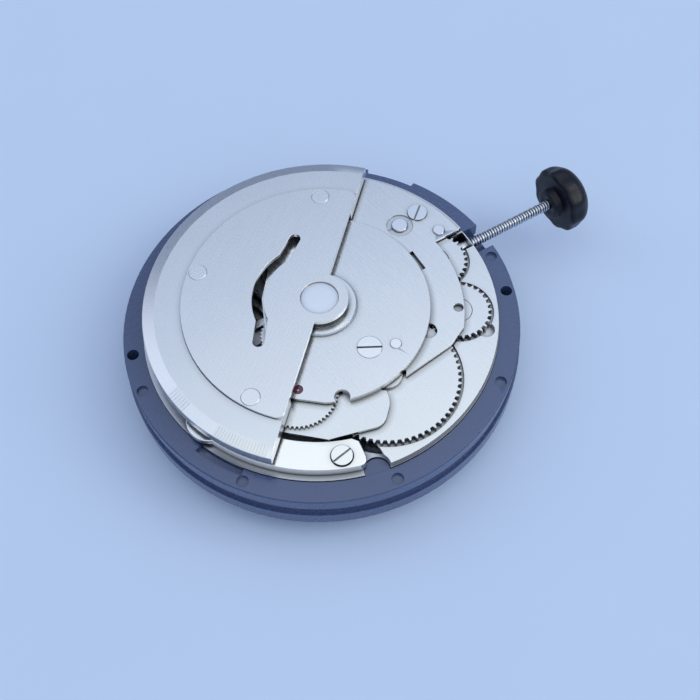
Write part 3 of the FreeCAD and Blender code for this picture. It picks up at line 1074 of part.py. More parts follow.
def motion_works():
    """Cannon pinion, minute wheel, hour wheel, intermediate and setting wheels, date drive."""
    height = size("motion_height")
    third_gear = (PLACE["third"], size("driving_leaves"), 0.0)
    driving_pitch = size("third_reach") - leaf_share(
        size("third_reach"), size("driving_leaves"), size("driving_teeth"))
    phase = mesh_phase(third_gear, (PLACE["centre"], size("driving_teeth")))
    cannon_pitch = leaf_share(size("minute_reach"), size("cannon_leaves"), size("minute_teeth"))
    minute_low = size("minute_wheel_low")
    cannon = cut(fuse(
        toothed("centre", size("driving_teeth"), driving_pitch, size("driving_wheel_low"),
                0.12, phase),
        toothed("centre", size("cannon_leaves"), cannon_pitch, minute_low - 0.02, 0.30),
        disc("cannon_radius", "cannon_end", "hour_end"),
        cone("cannon_shaft_foot", "cannon_shaft_radius", "hour_end - shoulder_gap",
             "minute_wheel_low - 0.02")),
        disc("centre_tube_radius + fit_gap", "cannon_end - 1", "web_low"))
    label(cannon, "cannon_pinion")
    phase = mesh_phase((PLACE["centre"], size("cannon_leaves"), 0.0),
                       (PLACE["minute"], size("minute_teeth")))
    pinion_pitch = leaf_share(size("minute_reach"), size("minute_leaves"), size("hour_teeth"))
    minute = cut(fuse(
        toothed("minute", size("minute_teeth"), size("minute_reach") - cannon_pitch,
                minute_low, height, phase),
        toothed("minute", size("minute_leaves"), pinion_pitch, size("hour_wheel_low") - 0.02,
                minute_low - size("hour_wheel_low") + 0.04)),
        disc("arbor_radius + fit_gap", "0", "web_low", "minute"))
    label(minute, "minute_wheel")
    hour_phase = mesh_phase((PLACE["minute"], size("minute_leaves"), 0.0),
                            (PLACE["centre"], size("hour_teeth")))
    hour_pitch = size("minute_reach") - pinion_pitch
    hour = cut(fuse(
        toothed("centre", size("hour_teeth"), hour_pitch, size("hour_wheel_low"), height,
                hour_phase),
        disc("hour_tube_radius", "hour_end", "hour_shoulder + 0.01"),
        disc("hour_shaft_radius", "hour_shoulder", "hour_wheel_low + 0.05")),
        cone("cannon_shaft_foot + fit_gap", "cannon_shaft_radius + fit_gap",
             "hour_end - shoulder_gap", "minute_wheel_low - 0.02"))
    label(hour, "hour_wheel")
    inter_teeth = 24
    inter_phase = mesh_phase((PLACE["minute"], size("minute_teeth"), phase),
                             (PLACE["intermediate"], inter_teeth))
    inter = cut(toothed("intermediate", inter_teeth, size("intermediate_pitch"), minute_low,
                        height, inter_phase),
                disc("arbor_radius + fit_gap", "0", "web_low", "intermediate"))
    label(inter, "intermediate_setting_wheel")
    setting_phase = mesh_phase((PLACE["intermediate"], inter_teeth, inter_phase),
                               (PLACE["setting"], size("setting_teeth")))
    setting = fuse(
        toothed("setting", size("setting_teeth"), size("setting_pitch"), minute_low, height,
                setting_phase),
        toothed("setting", size("setting_teeth"), size("setting_pitch") * 0.95,
                size("keyless_low") + 0.02, 0.18),
        disc("setting_pitch * 0.3", "minute_wheel_low - 0.1", "keyless_low + 0.1", "setting"))
    label(setting, "setting_wheel")
    date_phase = mesh_phase((PLACE["centre"], size("hour_teeth"), hour_phase),
                            (PLACE["date_drive"], 2 * size("hour_teeth")))
    drive = cut(toothed("date_drive", 2 * size("hour_teeth"), 2 * hour_pitch,
                        size("hour_wheel_low"), height, date_phase),
                disc("arbor_radius + fit_gap", "0", "web_low", "date_drive"))
    label(drive, "date_driving_wheel")
    return [cannon, minute, hour, inter, setting, drive]


def date_ring():
    """Date ring with one inner tooth for each day."""
    teeth, depth = int(size("date_teeth")), size("date_tooth_depth")
    points = []
    for n in range(teeth):
        for share, radius in ((-0.32, size("date_ring_inner") + depth),
                              (-0.06, size("date_ring_inner")), (0.06, size("date_ring_inner")),
                              (0.32, size("date_ring_inner") + depth)):
            points.append(V(*polar(radius, (n + share) * 360.0 / teeth), 0))
    hole = Part.Face(Part.makePolygon(points + points[:1])).extrude(V(0, 0, 1))
    return label(cut(disc("date_ring_outer", "date_ring_low", "date_ring_top"), feature(hole)),
                 "date_ring")


def calendar_plate():
    """Guard plate under the date ring, with the posts of the dial-side wheels."""
    sheet = cut(disc("guard_radius", "guard_low", "guard_top"),
                disc("hour_tube_radius + 0.35", "-1", "1"))
    posts = [disc("arbor_radius", "guard_low", "minute_wheel_low + 0.18", at)
             for at in ("minute", "intermediate")]
    posts.append(disc("arbor_radius", "guard_low", "hour_wheel_low + 0.2", "date_drive"))
    return label(fuse(sheet, *posts), "calendar_plate")


def jewels():
    """Jewels, grouped by the plate that carries them."""
    lower = [jewel("second", "web_top - jewel_height"),
             jewel("third", "web_top - jewel_height"),
             jewel("escape", "balance_floor - jewel_height"),
             jewel("lever", "balance_floor - jewel_height", "jewel_radius * 0.6")]
    upper = [jewel(at, "plate_top") for at in ("second", "third", "escape", "centre")]
    automatic = [jewel(at, "automatic_roof", "jewel_radius * 0.8")
                 for at in ("reduction", "reverser")]
    lever = jewel("lever", "lever_low + lever_height + air * 2", "jewel_radius * 0.6")
    return [label(group(*lower), "plate_jewels"), label(group(*upper), "train_bridge_jewels"),
            label(group(*automatic), "automatic_jewels"), label(lever, "pallet_bridge_jewel")]


def screws():
    """Slotted screws of the bridges and of the cock."""
    bridge = screw("bridge_screw_x", "bridge_screw_y", "train_bridge_top + bridge_screw_lift",
                   turned=size("bridge_screw_turn"))
    upper = screw("upper_screw_x", "upper_screw_y", "automatic_top - upper_screw_sink",
                  "big_head_radius", "upper_screw_depth", size("upper_screw_turn"))
    cock = screw("cock_screw_x", "cock_screw_y", "cock_top - cock_screw_sink",
                 turned=size("cock_screw_turn"))
    return [label(bridge, "train_bridge_screw"), label(upper, "automatic_bridge_screw"),
            label(cock, "balance_cock_screw")]


def steady_pin(x, y, radius, low, top):
    """Pin pressed into a plate, with a bevelled end just above it."""
    end = DOC.addObject("Part::Cone", "pin_end")
    end.setExpression("Radius1", bound(radius))
    end.setExpression("Radius2", bound(f"{radius} - pin_bevel"))
    end.setExpression("Height", bound("pin_bevel"))
    return fuse(disc_at(radius, low, f"{top} - pin_bevel", x, y),
                put(end, x, y, f"{top} - pin_bevel"))


def steady_pins():
    """Pins that line up the automatic bridge and the lower plate."""
    pins = [steady_pin("bridge_pin_x", "bridge_pin_y", "bridge_pin_radius",
                       "automatic_top - bridge_pin_depth", "automatic_top + pin_rise / 2"),
            steady_pin("stud_x", "stud_y", "stud_radius", "lower_plate_top - pin_hole_depth",
                       "lower_plate_top + pin_rise"),
            steady_pin("key_pin_x", "key_pin_y", "key_pin_radius",
                       "lower_plate_top - pin_hole_depth", "lower_plate_top + pin_rise")]
    return label(group(*pins), "steady_pins")


NODES = [main_plate(), casing_ring(), *bridges(), balance_cock(), *barrel_works(),
         *train_wheels(), *lever_parts(), *balance(), *shock_settings(), *regulator(),
         *winding_wheels(), *automatic_wheels(), *rotor(), *stem_and_knob(), *keyless_levers(),
         *motion_works(), date_ring(), calendar_plate(), *jewels(), *screws(), steady_pins()]
DOC.recompute()

faults = [item.Name for item in DOC.Objects
          if any(word in item.State for word in ("Invalid", "Error"))]
for node in NODES:
    if node.Shape.isNull() or not node.Shape.isValid() or not node.Shape.Solids:
        faults.append(node.Label)
if faults:
    raise RuntimeError("failed: " + ", ".join(faults))

os.makedirs("parts", exist_ok=True)
for node in NODES:
    node.Shape.exportStep(f"parts/{node.Label}.step")
print(f"{len(NODES)} nodes, {sum(len(node.Shape.Solids) for node in NODES)} solids")
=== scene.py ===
"""Looks of a self-winding watch movement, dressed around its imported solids.

Everything is in metres in the frame of the solids: the origin is on the centre axis at the dial
seat, +Z points from the dial to the winding rotor and +X runs out along the winding stem.
Sizes in the classes below are millimetres, as a watchmaker gives them, and MM makes them metres.
"""
import json
import logging
import math
from dataclasses import dataclass, field, replace
from enum import Enum

import bmesh
import bpy
from mathutils import Matrix, Vector


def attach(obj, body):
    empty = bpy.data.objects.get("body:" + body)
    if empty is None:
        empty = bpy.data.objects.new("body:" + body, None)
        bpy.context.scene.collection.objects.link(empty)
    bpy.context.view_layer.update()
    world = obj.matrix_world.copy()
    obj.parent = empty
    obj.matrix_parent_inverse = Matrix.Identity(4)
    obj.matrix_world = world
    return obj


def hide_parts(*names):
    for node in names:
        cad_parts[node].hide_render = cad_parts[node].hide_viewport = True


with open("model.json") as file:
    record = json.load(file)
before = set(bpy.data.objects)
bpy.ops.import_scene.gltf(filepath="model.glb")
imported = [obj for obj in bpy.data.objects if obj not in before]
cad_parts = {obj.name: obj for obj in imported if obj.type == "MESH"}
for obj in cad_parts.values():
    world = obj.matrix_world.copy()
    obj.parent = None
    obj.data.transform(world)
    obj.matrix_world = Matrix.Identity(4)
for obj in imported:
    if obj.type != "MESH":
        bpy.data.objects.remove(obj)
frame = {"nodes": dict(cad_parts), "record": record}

MM = 0.001
LOG = logging.getLogger("movement")
Point = tuple[float, float, float]
Colour = tuple[float, float, float]
Feed = float | bpy.types.NodeSocket


class Grain(Enum):
    """How the fine lines of a finish lie. A sanded one has specks instead."""

    STRAIGHT = "straight"
    SUNRAY = "sunray"
    SANDED = "sanded"


@dataclass(frozen=True)
class Finish:
    """One surface finish: colour, gloss and the lines or specks that tools left on it.

    Angles are degrees and sizes are millimetres. The centre is where sunray lines meet. The gap
    shade is painted shade: how far the colour darkens in a narrow gap, where shade falls.
    """

    name: str
    colour: Colour
    roughness: float
    metallic: float = 1.0
    grain: Grain = Grain.SANDED
    line_width: float = 0.08
    line_length: float = 4.0
    angle: float = 0.0
    centre: tuple[float, float] = (0.0, 0.0)
    depth: float = 0.0
    gloss_spread: float = 0.06
    shade_spread: float = 0.05
    coat: float = 0.0
    specular: float = 0.5
    gap_shade: float = 0.0


class Finishes:
    """Named finishes of the movement's pieces."""

    BRIDGE = Finish("bridge_plating", (0.80, 0.815, 0.84), 0.27, grain=Grain.STRAIGHT,
                    line_width=0.07, line_length=3.2, angle=101.0, depth=0.010, gap_shade=0.9)
    PLATE = Finish("plate_plating", (0.52, 0.54, 0.60), 0.33, line_width=0.16, depth=0.006,
                   gap_shade=0.9)
    # The cock's colour is lighter than the bridges' as a painted highlight; its smoother gloss
    # and its grain are its own.
    COCK = Finish("cock_plating_painted_highlight", (0.95, 0.945, 0.93), 0.20, grain=Grain.STRAIGHT,
                  line_width=0.06, line_length=3.0, angle=-28.0, depth=0.004, gap_shade=0.7)
    ROTOR_SHEET = Finish("rotor_sheet", (0.81, 0.82, 0.84), 0.28, grain=Grain.STRAIGHT,
                         line_width=0.05, line_length=2.4, angle=38.0, depth=0.003,
                         shade_spread=0.03)
    ROTOR_RIM = Finish("rotor_rim", (0.79, 0.81, 0.84), 0.32, line_width=0.10, depth=0.004,
                       shade_spread=0.04, gap_shade=0.5)
    RIVET = Finish("rivet_head", (0.84, 0.85, 0.87), 0.26, line_width=0.06, depth=0.002,
                   shade_spread=0.03, gap_shade=0.9)
    POLISHED = Finish("polished_steel", (0.86, 0.87, 0.89), 0.14, grain=Grain.STRAIGHT,
                      line_width=0.05, line_length=1.0, depth=0.002, shade_spread=0.03,
                      gap_shade=0.9)
    STEEL = Finish("ground_steel", (0.66, 0.68, 0.71), 0.30, grain=Grain.STRAIGHT,
                   line_width=0.05, line_length=1.6, angle=20.0, depth=0.006, gap_shade=0.8)
    NICKEL = Finish("nickel_plating", (0.80, 0.81, 0.83), 0.26, line_width=0.07, depth=0.004,
                    gap_shade=0.8)
    STEM = Finish("stem_steel", (0.66, 0.69, 0.75), 0.26, line_width=0.08, depth=0.002,
                  gap_shade=0.95)
    # Steel darkened as painted shade, for the barrel where it shows in the gap under the ratchet.
    DARK_STEEL = Finish("painted_shade_steel", (0.34, 0.36, 0.40), 0.28, line_width=0.08, depth=0.004,
                        gap_shade=0.9)
    GILT = Finish("gilt_brass", (0.80, 0.64, 0.36), 0.28, line_width=0.08, depth=0.005,
                  gap_shade=0.8)
    SPRING = Finish("spring_steel", (0.30, 0.33, 0.42), 0.28, grain=Grain.STRAIGHT,
                    line_width=0.05, line_length=1.0, depth=0.003)
    RUBY = Finish("ruby", (0.42, 0.02, 0.07), 0.08, metallic=0.0, line_width=0.2,
                  shade_spread=0.12, coat=0.6)
    SMALL_RUBY = Finish("small_ruby", (0.10, 0.02, 0.045), 0.08, metallic=0.0, line_width=0.2,
                        shade_spread=0.2, coat=0.6)
    RING = Finish("moulded_ring", (0.043, 0.072, 0.180), 0.24, metallic=0.0, line_width=0.30,
                  depth=0.006, gloss_spread=0.08, shade_spread=0.14, specular=0.9)
    KNOB = Finish("moulded_knob", (0.0030, 0.0032, 0.0095), 0.38, metallic=0.0,
                  line_width=0.12, depth=0.008, gloss_spread=0.10, shade_spread=0.2,
                  specular=0.35)
    DATE = Finish("date_lacquer", (0.86, 0.86, 0.83), 0.35, metallic=0.0, line_width=0.3,
                  shade_spread=0.03)
    INK = Finish("date_ink", (0.02, 0.02, 0.025), 0.5, metallic=0.0, line_width=0.1,
                 shade_spread=0.1)
    FLOOR = Finish("studio_floor", (0.56, 0.67, 0.88), 0.9, metallic=0.0, line_width=40.0,
                   shade_spread=0.01, gloss_spread=0.0, specular=0.1)

    @staticmethod
    def sunray(name: str, centre: tuple[float, float], base: Finish) -> Finish:
        """A finish whose lines run out from a wheel's own centre.

        Args:
            name: Name of the new finish.
            centre: The wheel's centre in millimetres.
            base: Finish that gives the colour and the gloss.

        Returns:
            The finish with sunray lines about that centre.
        """
        return replace(base, name=name, grain=Grain.SUNRAY, line_width=0.05, line_length=3.0,
                       centre=centre, depth=0.004)


class NodeBench:
    """Adds and joins the nodes of one tree."""

    def __init__(self, tree: bpy.types.NodeTree) -> None:
        """Start on an empty tree."""
        self.tree = tree
        tree.nodes.clear()

    def add(self, kind: str, **values: object) -> bpy.types.Node:
        """Add a node.

        Args:
            kind: The node's type name.
            **values: Properties of the node, set by name.

        Returns:
            The new node.
        """
        node = self.tree.nodes.new(kind)
        for name, value in values.items():
            setattr(node, name, value)
        return node

    def join(self, source: bpy.types.NodeSocket, target: bpy.types.NodeSocket) -> None:
        """Link an output to an input."""
        self.tree.links.new(source, target)

    def feed(self, node: bpy.types.Node, *values: Feed) -> bpy.types.NodeSocket:
        """Give a node's first inputs their numbers or sockets.

        Args:
            node: The node.
            *values: A number or a socket for each input, in the order of the inputs.

        Returns:
            The node's first output.
        """
        for socket, value in zip(node.inputs, values):
            if isinstance(value, bpy.types.NodeSocket):
                self.join(value, socket)
            else:
                socket.default_value = value
        return node.outputs[0]

    def math(self, operation: str, *values: Feed) -> bpy.types.NodeSocket:
        """The result of a Math node on numbers or sockets."""
        return self.feed(self.add("ShaderNodeMath", operation=operation), *values)

    def vector(self, x: Feed, y: Feed, z: Feed) -> bpy.types.NodeSocket:
        """The vector that three numbers or sockets make."""
        return self.feed(self.add("ShaderNodeCombineXYZ"), x, y, z)

    def ramp(self, share: bpy.types.NodeSocket,
             *stops: tuple[float, Colour]) -> bpy.types.NodeSocket:
        """Turn a number into a colour.

        Args:
            share: Socket with the number.
            *stops: Place and colour of each stop, from low to high.

        Returns:
            A socket with the colour.
        """
        node = self.add("ShaderNodeValToRGB")
        elements = node.color_ramp.elements
        elements[0].position = stops[0][0]
        elements[1].position = stops[-1][0]
        for place, _ in stops[1:-1]:
            elements.new(place)
        for element, (_, colour) in zip(elements, stops):
            element.color = (*colour, 1.0)
        self.join(share, node.inputs["Fac"])
        return node.outputs["Color"]


@dataclass
class Paintshop:
    """Makes each finish's material once and hands it out.

    Nearly all of a noise's values lie between its low and its high one. Clouds are broad patches
    of shade, and their scale is waves in a metre. Lengths are millimetres.
    """

    noise_detail: float = 3.0
    noise_roughness: float = 0.6
    noise_low: float = 0.30
    noise_high: float = 0.70
    bump_strength: float = 0.6
    least_roughness: float = 0.03
    sunray_girth: float = 4.0
    sunray_hub: float = 0.01
    cloud_scale: float = 170.0
    cloud_detail: float = 2.0
    cloud_share: float = 0.35
    # Reach in millimetres, power and samples of the painted shade in narrow gaps.
    gap_reach: float = 0.55
    gap_power: float = 1.6
    gap_samples: int = 16
    made: dict[str, bpy.types.Material] = field(default_factory=dict)

    def material(self, finish: Finish) -> bpy.types.Material:
        """The material of a finish, made the first time it is asked for.

        Args:
            finish: The finish.

        Returns:
            Its material.
        """
        if finish.name not in self.made:
            self.made[finish.name] = self.mix(finish)
        return self.made[finish.name]

    def mix(self, finish: Finish) -> bpy.types.Material:
        """Build the node tree of a finish.

        Args:
            finish: What the surface is like.

        Returns:
            The new material.
        """
        material = bpy.data.materials.new(finish.name)
        material.use_nodes = True
        bench = NodeBench(material.node_tree)
        output = bench.add("ShaderNodeOutputMaterial")
        shader = bench.add("ShaderNodeBsdfPrincipled")
        shader.inputs["Metallic"].default_value = finish.metallic
        shader.inputs["Specular IOR Level"].default_value = finish.specular
        shader.inputs["Coat Weight"].default_value = finish.coat
        bench.join(shader.outputs["BSDF"], output.inputs["Surface"])
        lines = self.pattern(bench, finish)
        self.spread_gloss(bench, shader, lines, finish)
        self.spread_shade(bench, shader, lines, finish)
        if finish.depth > 0.0:
            bump = bench.add("ShaderNodeBump")
            bump.inputs["Strength"].default_value = self.bump_strength
            bump.inputs["Distance"].default_value = finish.depth * MM
            bench.join(lines, bump.inputs["Height"])
            bench.join(bump.outputs["Normal"], shader.inputs["Normal"])
        return material

    def pattern(self, bench: NodeBench, finish: Finish) -> bpy.types.NodeSocket:
        """Noise drawn out along the lines of the grain.

        Args:
            bench: Bench of the material's tree.
            finish: What the surface is like.

        Returns:
            A socket with a value from 0 to 1.
        """
        place = bench.add("ShaderNodeTexCoord").outputs["Object"]
        across = 1.0 / (finish.line_width * MM)
        along = 1.0 / (finish.line_length * MM)
        if finish.grain is Grain.SUNRAY:
            drawn = self.round_place(bench, place, finish, along)
        else:
            level = bench.add("ShaderNodeMapping")
            level.inputs["Rotation"].default_value[2] = math.radians(-finish.angle)
            bench.join(place, level.inputs["Vector"])
            stretch = bench.add("ShaderNodeMapping")
            first = along if finish.grain is Grain.STRAIGHT else across
            stretch.inputs["Scale"].default_value = (first, across, across)
            bench.join(level.outputs["Vector"], stretch.inputs["Vector"])
            drawn = stretch.outputs["Vector"]
        noise = bench.add("ShaderNodeTexNoise")
        noise.inputs["Scale"].default_value = 1.0
        noise.inputs["Detail"].default_value = self.noise_detail
        noise.inputs["Roughness"].default_value = self.noise_roughness
        bench.join(drawn, noise.inputs["Vector"])
        return noise.outputs["Fac"]

    def round_place(self, bench: NodeBench, place: bpy.types.NodeSocket, finish: Finish,
                    along: float) -> bpy.types.NodeSocket:
        """Coordinates that follow a circle about the finish's centre, with no seam.

        Args:
            bench: Bench of the material's tree.
            place: Socket with the place on the object.
            finish: What the surface is like.
            along: Waves per metre along the lines.

        Returns:
            A vector socket for the noise.
        """
        split = bench.add("ShaderNodeSeparateXYZ")
        bench.join(place, split.inputs[0])
        x = bench.math("SUBTRACT", split.outputs["X"], finish.centre[0] * MM)
        y = bench.math("SUBTRACT", split.outputs["Y"], finish.centre[1] * MM)
        reach = bench.math("SQRT", bench.math(
            "ADD", bench.math("MULTIPLY", x, x), bench.math("MULTIPLY", y, y)))
        safe = bench.math("MAXIMUM", reach, self.sunray_hub * MM)
        around = self.sunray_girth / finish.line_width
        return bench.vector(
            bench.math("MULTIPLY", bench.math("DIVIDE", x, safe), around),
            bench.math("MULTIPLY", bench.math("DIVIDE", y, safe), around),
            bench.math("MULTIPLY", reach, along))

    def spread_gloss(self, bench: NodeBench, shader: bpy.types.Node,
                     lines: bpy.types.NodeSocket, finish: Finish) -> None:
        """Let the roughness follow the grain about the finish's own value.

        Args:
            bench: Bench of the material's tree.
            shader: The material's shader.
            lines: Socket with the grain's noise.
            finish: What the surface is like.
        """
        if finish.gloss_spread <= 0.0:
            shader.inputs["Roughness"].default_value = finish.roughness
            return
        spread = bench.add("ShaderNodeMapRange")
        spread.inputs["From Min"].default_value = self.noise_low
        spread.inputs["From Max"].default_value = self.noise_high
        spread.inputs["To Min"].default_value = max(finish.roughness - finish.gloss_spread,
                                                    self.least_roughness)
        spread.inputs["To Max"].default_value = finish.roughness + finish.gloss_spread
        bench.join(lines, spread.inputs["Value"])
        bench.join(spread.outputs["Result"], shader.inputs["Roughness"])

    def spread_shade(self, bench: NodeBench, shader: bpy.types.Node,
                     lines: bpy.types.NodeSocket, finish: Finish) -> None:
        """Let the colour change a little with the grain and clouds, and paint shade into gaps.

        Args:
            bench: Bench of the material's tree.
            shader: The material's shader.
            lines: Socket with the grain's noise.
            finish: What the surface is like.
        """
        cloud = bench.add("ShaderNodeTexNoise")
        cloud.inputs["Scale"].default_value = self.cloud_scale
        cloud.inputs["Detail"].default_value = self.cloud_detail
        bench.join(bench.add("ShaderNodeTexCoord").outputs["Object"], cloud.inputs["Vector"])
        both = bench.math("ADD", bench.math("MULTIPLY", lines, 1.0 - self.cloud_share),
                          bench.math("MULTIPLY", cloud.outputs["Fac"], self.cloud_share))
        dark, light = (tuple(min(part * share, 1.0) for part in finish.colour)
                       for share in (1.0 - finish.shade_spread, 1.0 + finish.shade_spread))
        colour = bench.ramp(both, (self.noise_low, dark), (self.noise_high, light))
        # Painted shade: ambient occlusion darkens the colour in narrow gaps and recesses.
        if finish.gap_shade > 0.0:
            gap = bench.add("ShaderNodeAmbientOcclusion", samples=self.gap_samples)
            gap.inputs["Distance"].default_value = self.gap_reach * MM
            open_share = bench.math("POWER", gap.outputs["AO"], self.gap_power)
            kept = bench.math("ADD", bench.math("MULTIPLY", open_share, finish.gap_shade),
                              1.0 - finish.gap_shade)
            shaded = bench.add("ShaderNodeVectorMath", operation="SCALE")
            bench.join(colour, shaded.inputs[0])
            bench.join(kept, shaded.inputs["Scale"])
            colour = shaded.outputs["Vector"]
        bench.join(colour, shader.inputs["Base Color"])


class Bench:
    """Mesh work shared by the sub-assemblies, its limits in millimetres and degrees."""

    weld: float = 0.0005
    flat_under: float = 1.0
    sharp_over: float = 40.0
    face_weight: int = 100
    corner_reach: float = 0.15
    corner_height: float = 0.10
    corner_steps: int = 8

    @staticmethod
    def new_piece(name: str, mesh: bpy.types.Mesh, material: bpy.types.Material,
                  smooth_under: float = 35.0) -> bpy.types.Object:
        """Put a finished mesh into the scene as a piece at the origin.

        Args:
            name: Name of the piece.
            mesh: Its mesh, in place.
            material: Its only material.
            smooth_under: Edges flatter than this many degrees are shaded smooth.

        Returns:
            The new object.
        """
        mesh.name = name
        mesh.materials.clear()
        mesh.materials.append(material)
        for face in mesh.polygons:
            face.use_smooth = True
        mesh.set_sharp_from_angle(angle=math.radians(smooth_under))
        piece = bpy.data.objects.new(name, mesh)
        bpy.context.scene.collection.objects.link(piece)
        return piece

    @staticmethod
    def plain_mesh(shown: bpy.types.Object) -> bpy.types.Mesh:
        """The plain mesh of a text, or of a piece with its modifiers worked out.

        Args:
            shown: The text or the piece.

        Returns:
            A new mesh.
        """
        bpy.context.view_layer.update()
        graph = bpy.context.evaluated_depsgraph_get()
        return bpy.data.meshes.new_from_object(shown.evaluated_get(graph))

    @staticmethod
    def settle(piece: bpy.types.Object) -> bpy.types.Object:
        """Turn a piece's modifiers into plain mesh and take them off.

        Args:
            piece: The piece.

        Returns:
            The same piece.
        """
        mesh = Bench.plain_mesh(piece)
        piece.modifiers.clear()
        piece.data = mesh
        return piece

    @staticmethod
    def mesh_from(work: bmesh.types.BMesh, name: str) -> bpy.types.Mesh:
        """Put a mesh in work into a new mesh and end the work.

        Args:
            work: The mesh in work.
            name: Name of the new mesh.

        Returns:
            The new mesh.
        """
        mesh = bpy.data.meshes.new(name)
        work.to_mesh(mesh)
        work.free()
        return mesh

    @staticmethod
    def round_corner(work: bmesh.types.BMesh, x: float, y: float, radius: float) -> None:
        """Round the upright edges that stand at one place.

        Args:
            work: The mesh.
            x: Place of the corner in millimetres.
            y: Place of the corner in millimetres.
            radius: Radius of the rounding in millimetres.
        """
        def stands_there(edge: bmesh.types.BMEdge) -> bool:
            """Whether an edge is upright and stands at the corner."""
            first, last = (point.co for point in edge.verts)
            near = all(math.hypot(end.x - x * MM, end.y - y * MM) < Bench.corner_reach * MM
                       for end in (first, last))
            return near and abs(first.z - last.z) > Bench.corner_height * MM
        upright = [edge for edge in work.edges if stands_there(edge)]
        LOG.info("corner %.2f %.2f: %d edges", x, y, len(upright))
        bmesh.ops.bevel(work, geom=upright, offset=radius * MM, offset_type="OFFSET",
                        segments=Bench.corner_steps, profile=0.5, affect="EDGES",
                        clamp_overlap=True)

    @staticmethod
    def chamfered(node: str, name: str, material: bpy.types.Material, width: float,
                  segments: int, corners: tuple[Point, ...]) -> bpy.types.Object:
        """A copy of a solid with fine chamfers on its sharp edges.

        Args:
            node: The solid's name.
            name: Name of the copy.
            material: Material of the copy.
            width: Width of the chamfer in millimetres.
            segments: Faces across each chamfer.
            corners: Upright edges to round first, as (x, y, radius).

        Returns:
            The chamfered piece, with no modifier left on it.
        """
        work = bmesh.new()
        work.from_mesh(frame["nodes"][node].data)
        bmesh.ops.remove_doubles(work, verts=work.verts, dist=Bench.weld * MM)
        bmesh.ops.dissolve_limit(work, angle_limit=math.radians(Bench.flat_under),
                                 verts=work.verts, edges=work.edges)
        for corner in corners:
            Bench.round_corner(work, *corner)
        piece = Bench.new_piece(name, Bench.mesh_from(work, name), material)
        bevel = piece.modifiers.new("chamfer", "BEVEL")
        bevel.width = width * MM
        bevel.segments = segments
        bevel.limit_method = "ANGLE"
        bevel.angle_limit = math.radians(Bench.sharp_over)
        bevel.use_clamp_overlap = True
        flat = piece.modifiers.new("flat_faces", "WEIGHTED_NORMAL")
        flat.mode = "FACE_AREA"
        flat.weight = Bench.face_weight
        flat.keep_sharp = True
        return Bench.settle(piece)

    @staticmethod
    def ring(work: bmesh.types.BMesh, x: float, height: float,
             radii: list[float]) -> list[bmesh.types.BMVert]:
        """Set points evenly round an axis that runs along X.

        Args:
            work: Mesh that takes the points.
            x: Place along the axis in millimetres.
            height: Height of the axis in millimetres.
            radii: Each point's distance from the axis. A single zero makes a pole.

        Returns:
            The new points.
        """
        points = []
        for number, radius in enumerate(radii):
            turn = 2.0 * math.pi * number / len(radii)
            across, over = radius * math.cos(turn), radius * math.sin(turn)
            points.append(work.verts.new((x * MM, across * MM, (height + over) * MM)))
        return points

    @staticmethod
    def skin(work: bmesh.types.BMesh, rings: list[list[bmesh.types.BMVert]]) -> None:
        """Lay faces from each ring of points to the next and turn all faces outwards.

        Args:
            work: Mesh that holds the points.
            rings: Rings with as many points as each other, or with one point at a pole.
        """
        for low, high in zip(rings, rings[1:]):
            for n in range(max(len(low), len(high))):
                corners = (low[n % len(low)], low[(n + 1) % len(low)],
                           high[(n + 1) % len(high)], high[n % len(high)])
                work.faces.new(list(dict.fromkeys(corners)))
        bmesh.ops.recalc_face_normals(work, faces=work.faces)


class NodeTreeMaker(NodeBench):
    """Builds a geometry node tree with named inputs."""

    def __init__(self, name: str, numbers: tuple[str, ...],
                 counts: tuple[str, ...] = ()) -> None:
        """Start a tree with a geometry input and output and its named inputs.

        Args:
            name: Name of the tree.
            numbers: Names of the inputs that are lengths, angles or turns.
            counts: Names of the inputs that are whole numbers.
        """
        super().__init__(bpy.data.node_groups.new(name, "GeometryNodeTree"))
        sockets = self.tree.interface
        for way in ("INPUT", "OUTPUT"):
            sockets.new_socket("Geometry", in_out=way, socket_type="NodeSocketGeometry")
        kinds = dict.fromkeys(numbers, "NodeSocketFloat") | dict.fromkeys(counts, "NodeSocketInt")
        self.identifiers = {
            label: sockets.new_socket(label, in_out="INPUT", socket_type=kind).identifier
            for label, kind in kinds.items()}
        self.start = self.add("NodeGroupInput")

    def given(self, name: str) -> bpy.types.NodeSocket:
        """The socket of a named input."""
        return self.start.outputs[name]

    def end(self, geometry: bpy.types.NodeSocket, material: bpy.types.Material) -> None:
        """Realize, paint and put out the geometry.

        Args:
            geometry: Socket with the geometry.
            material: Its material.
        """
        real = self.add("GeometryNodeRealizeInstances")
        paint = self.add("GeometryNodeSetMaterial")
        paint.inputs["Material"].default_value = material
        self.join(geometry, real.inputs["Geometry"])
        self.join(real.outputs["Geometry"], paint.inputs["Geometry"])
        self.join(paint.outputs["Geometry"], self.add("NodeGroupOutput").inputs[0])

    def grow(self, name: str, values: dict[str, float],
             material: bpy.types.Material) -> bpy.types.Object:
        """Run the tree on an empty mesh and keep the result as a plain piece.

        Args:
            name: Name of the piece.
            values: A value for each named input, in metres, radians, turns or counts.
            material: The piece's material.

        Returns:
            The piece, with no modifier left on it.
        """
        piece = Bench.new_piece(name, bpy.data.meshes.new(name), material)
        modifier = piece.modifiers.new("grown", "NODES")
        modifier.node_group = self.tree
        for key, value in values.items():
            modifier[self.identifiers[key]] = value
        Bench.settle(piece)
        piece.data.materials.clear()
        piece.data.materials.append(material)
        return piece


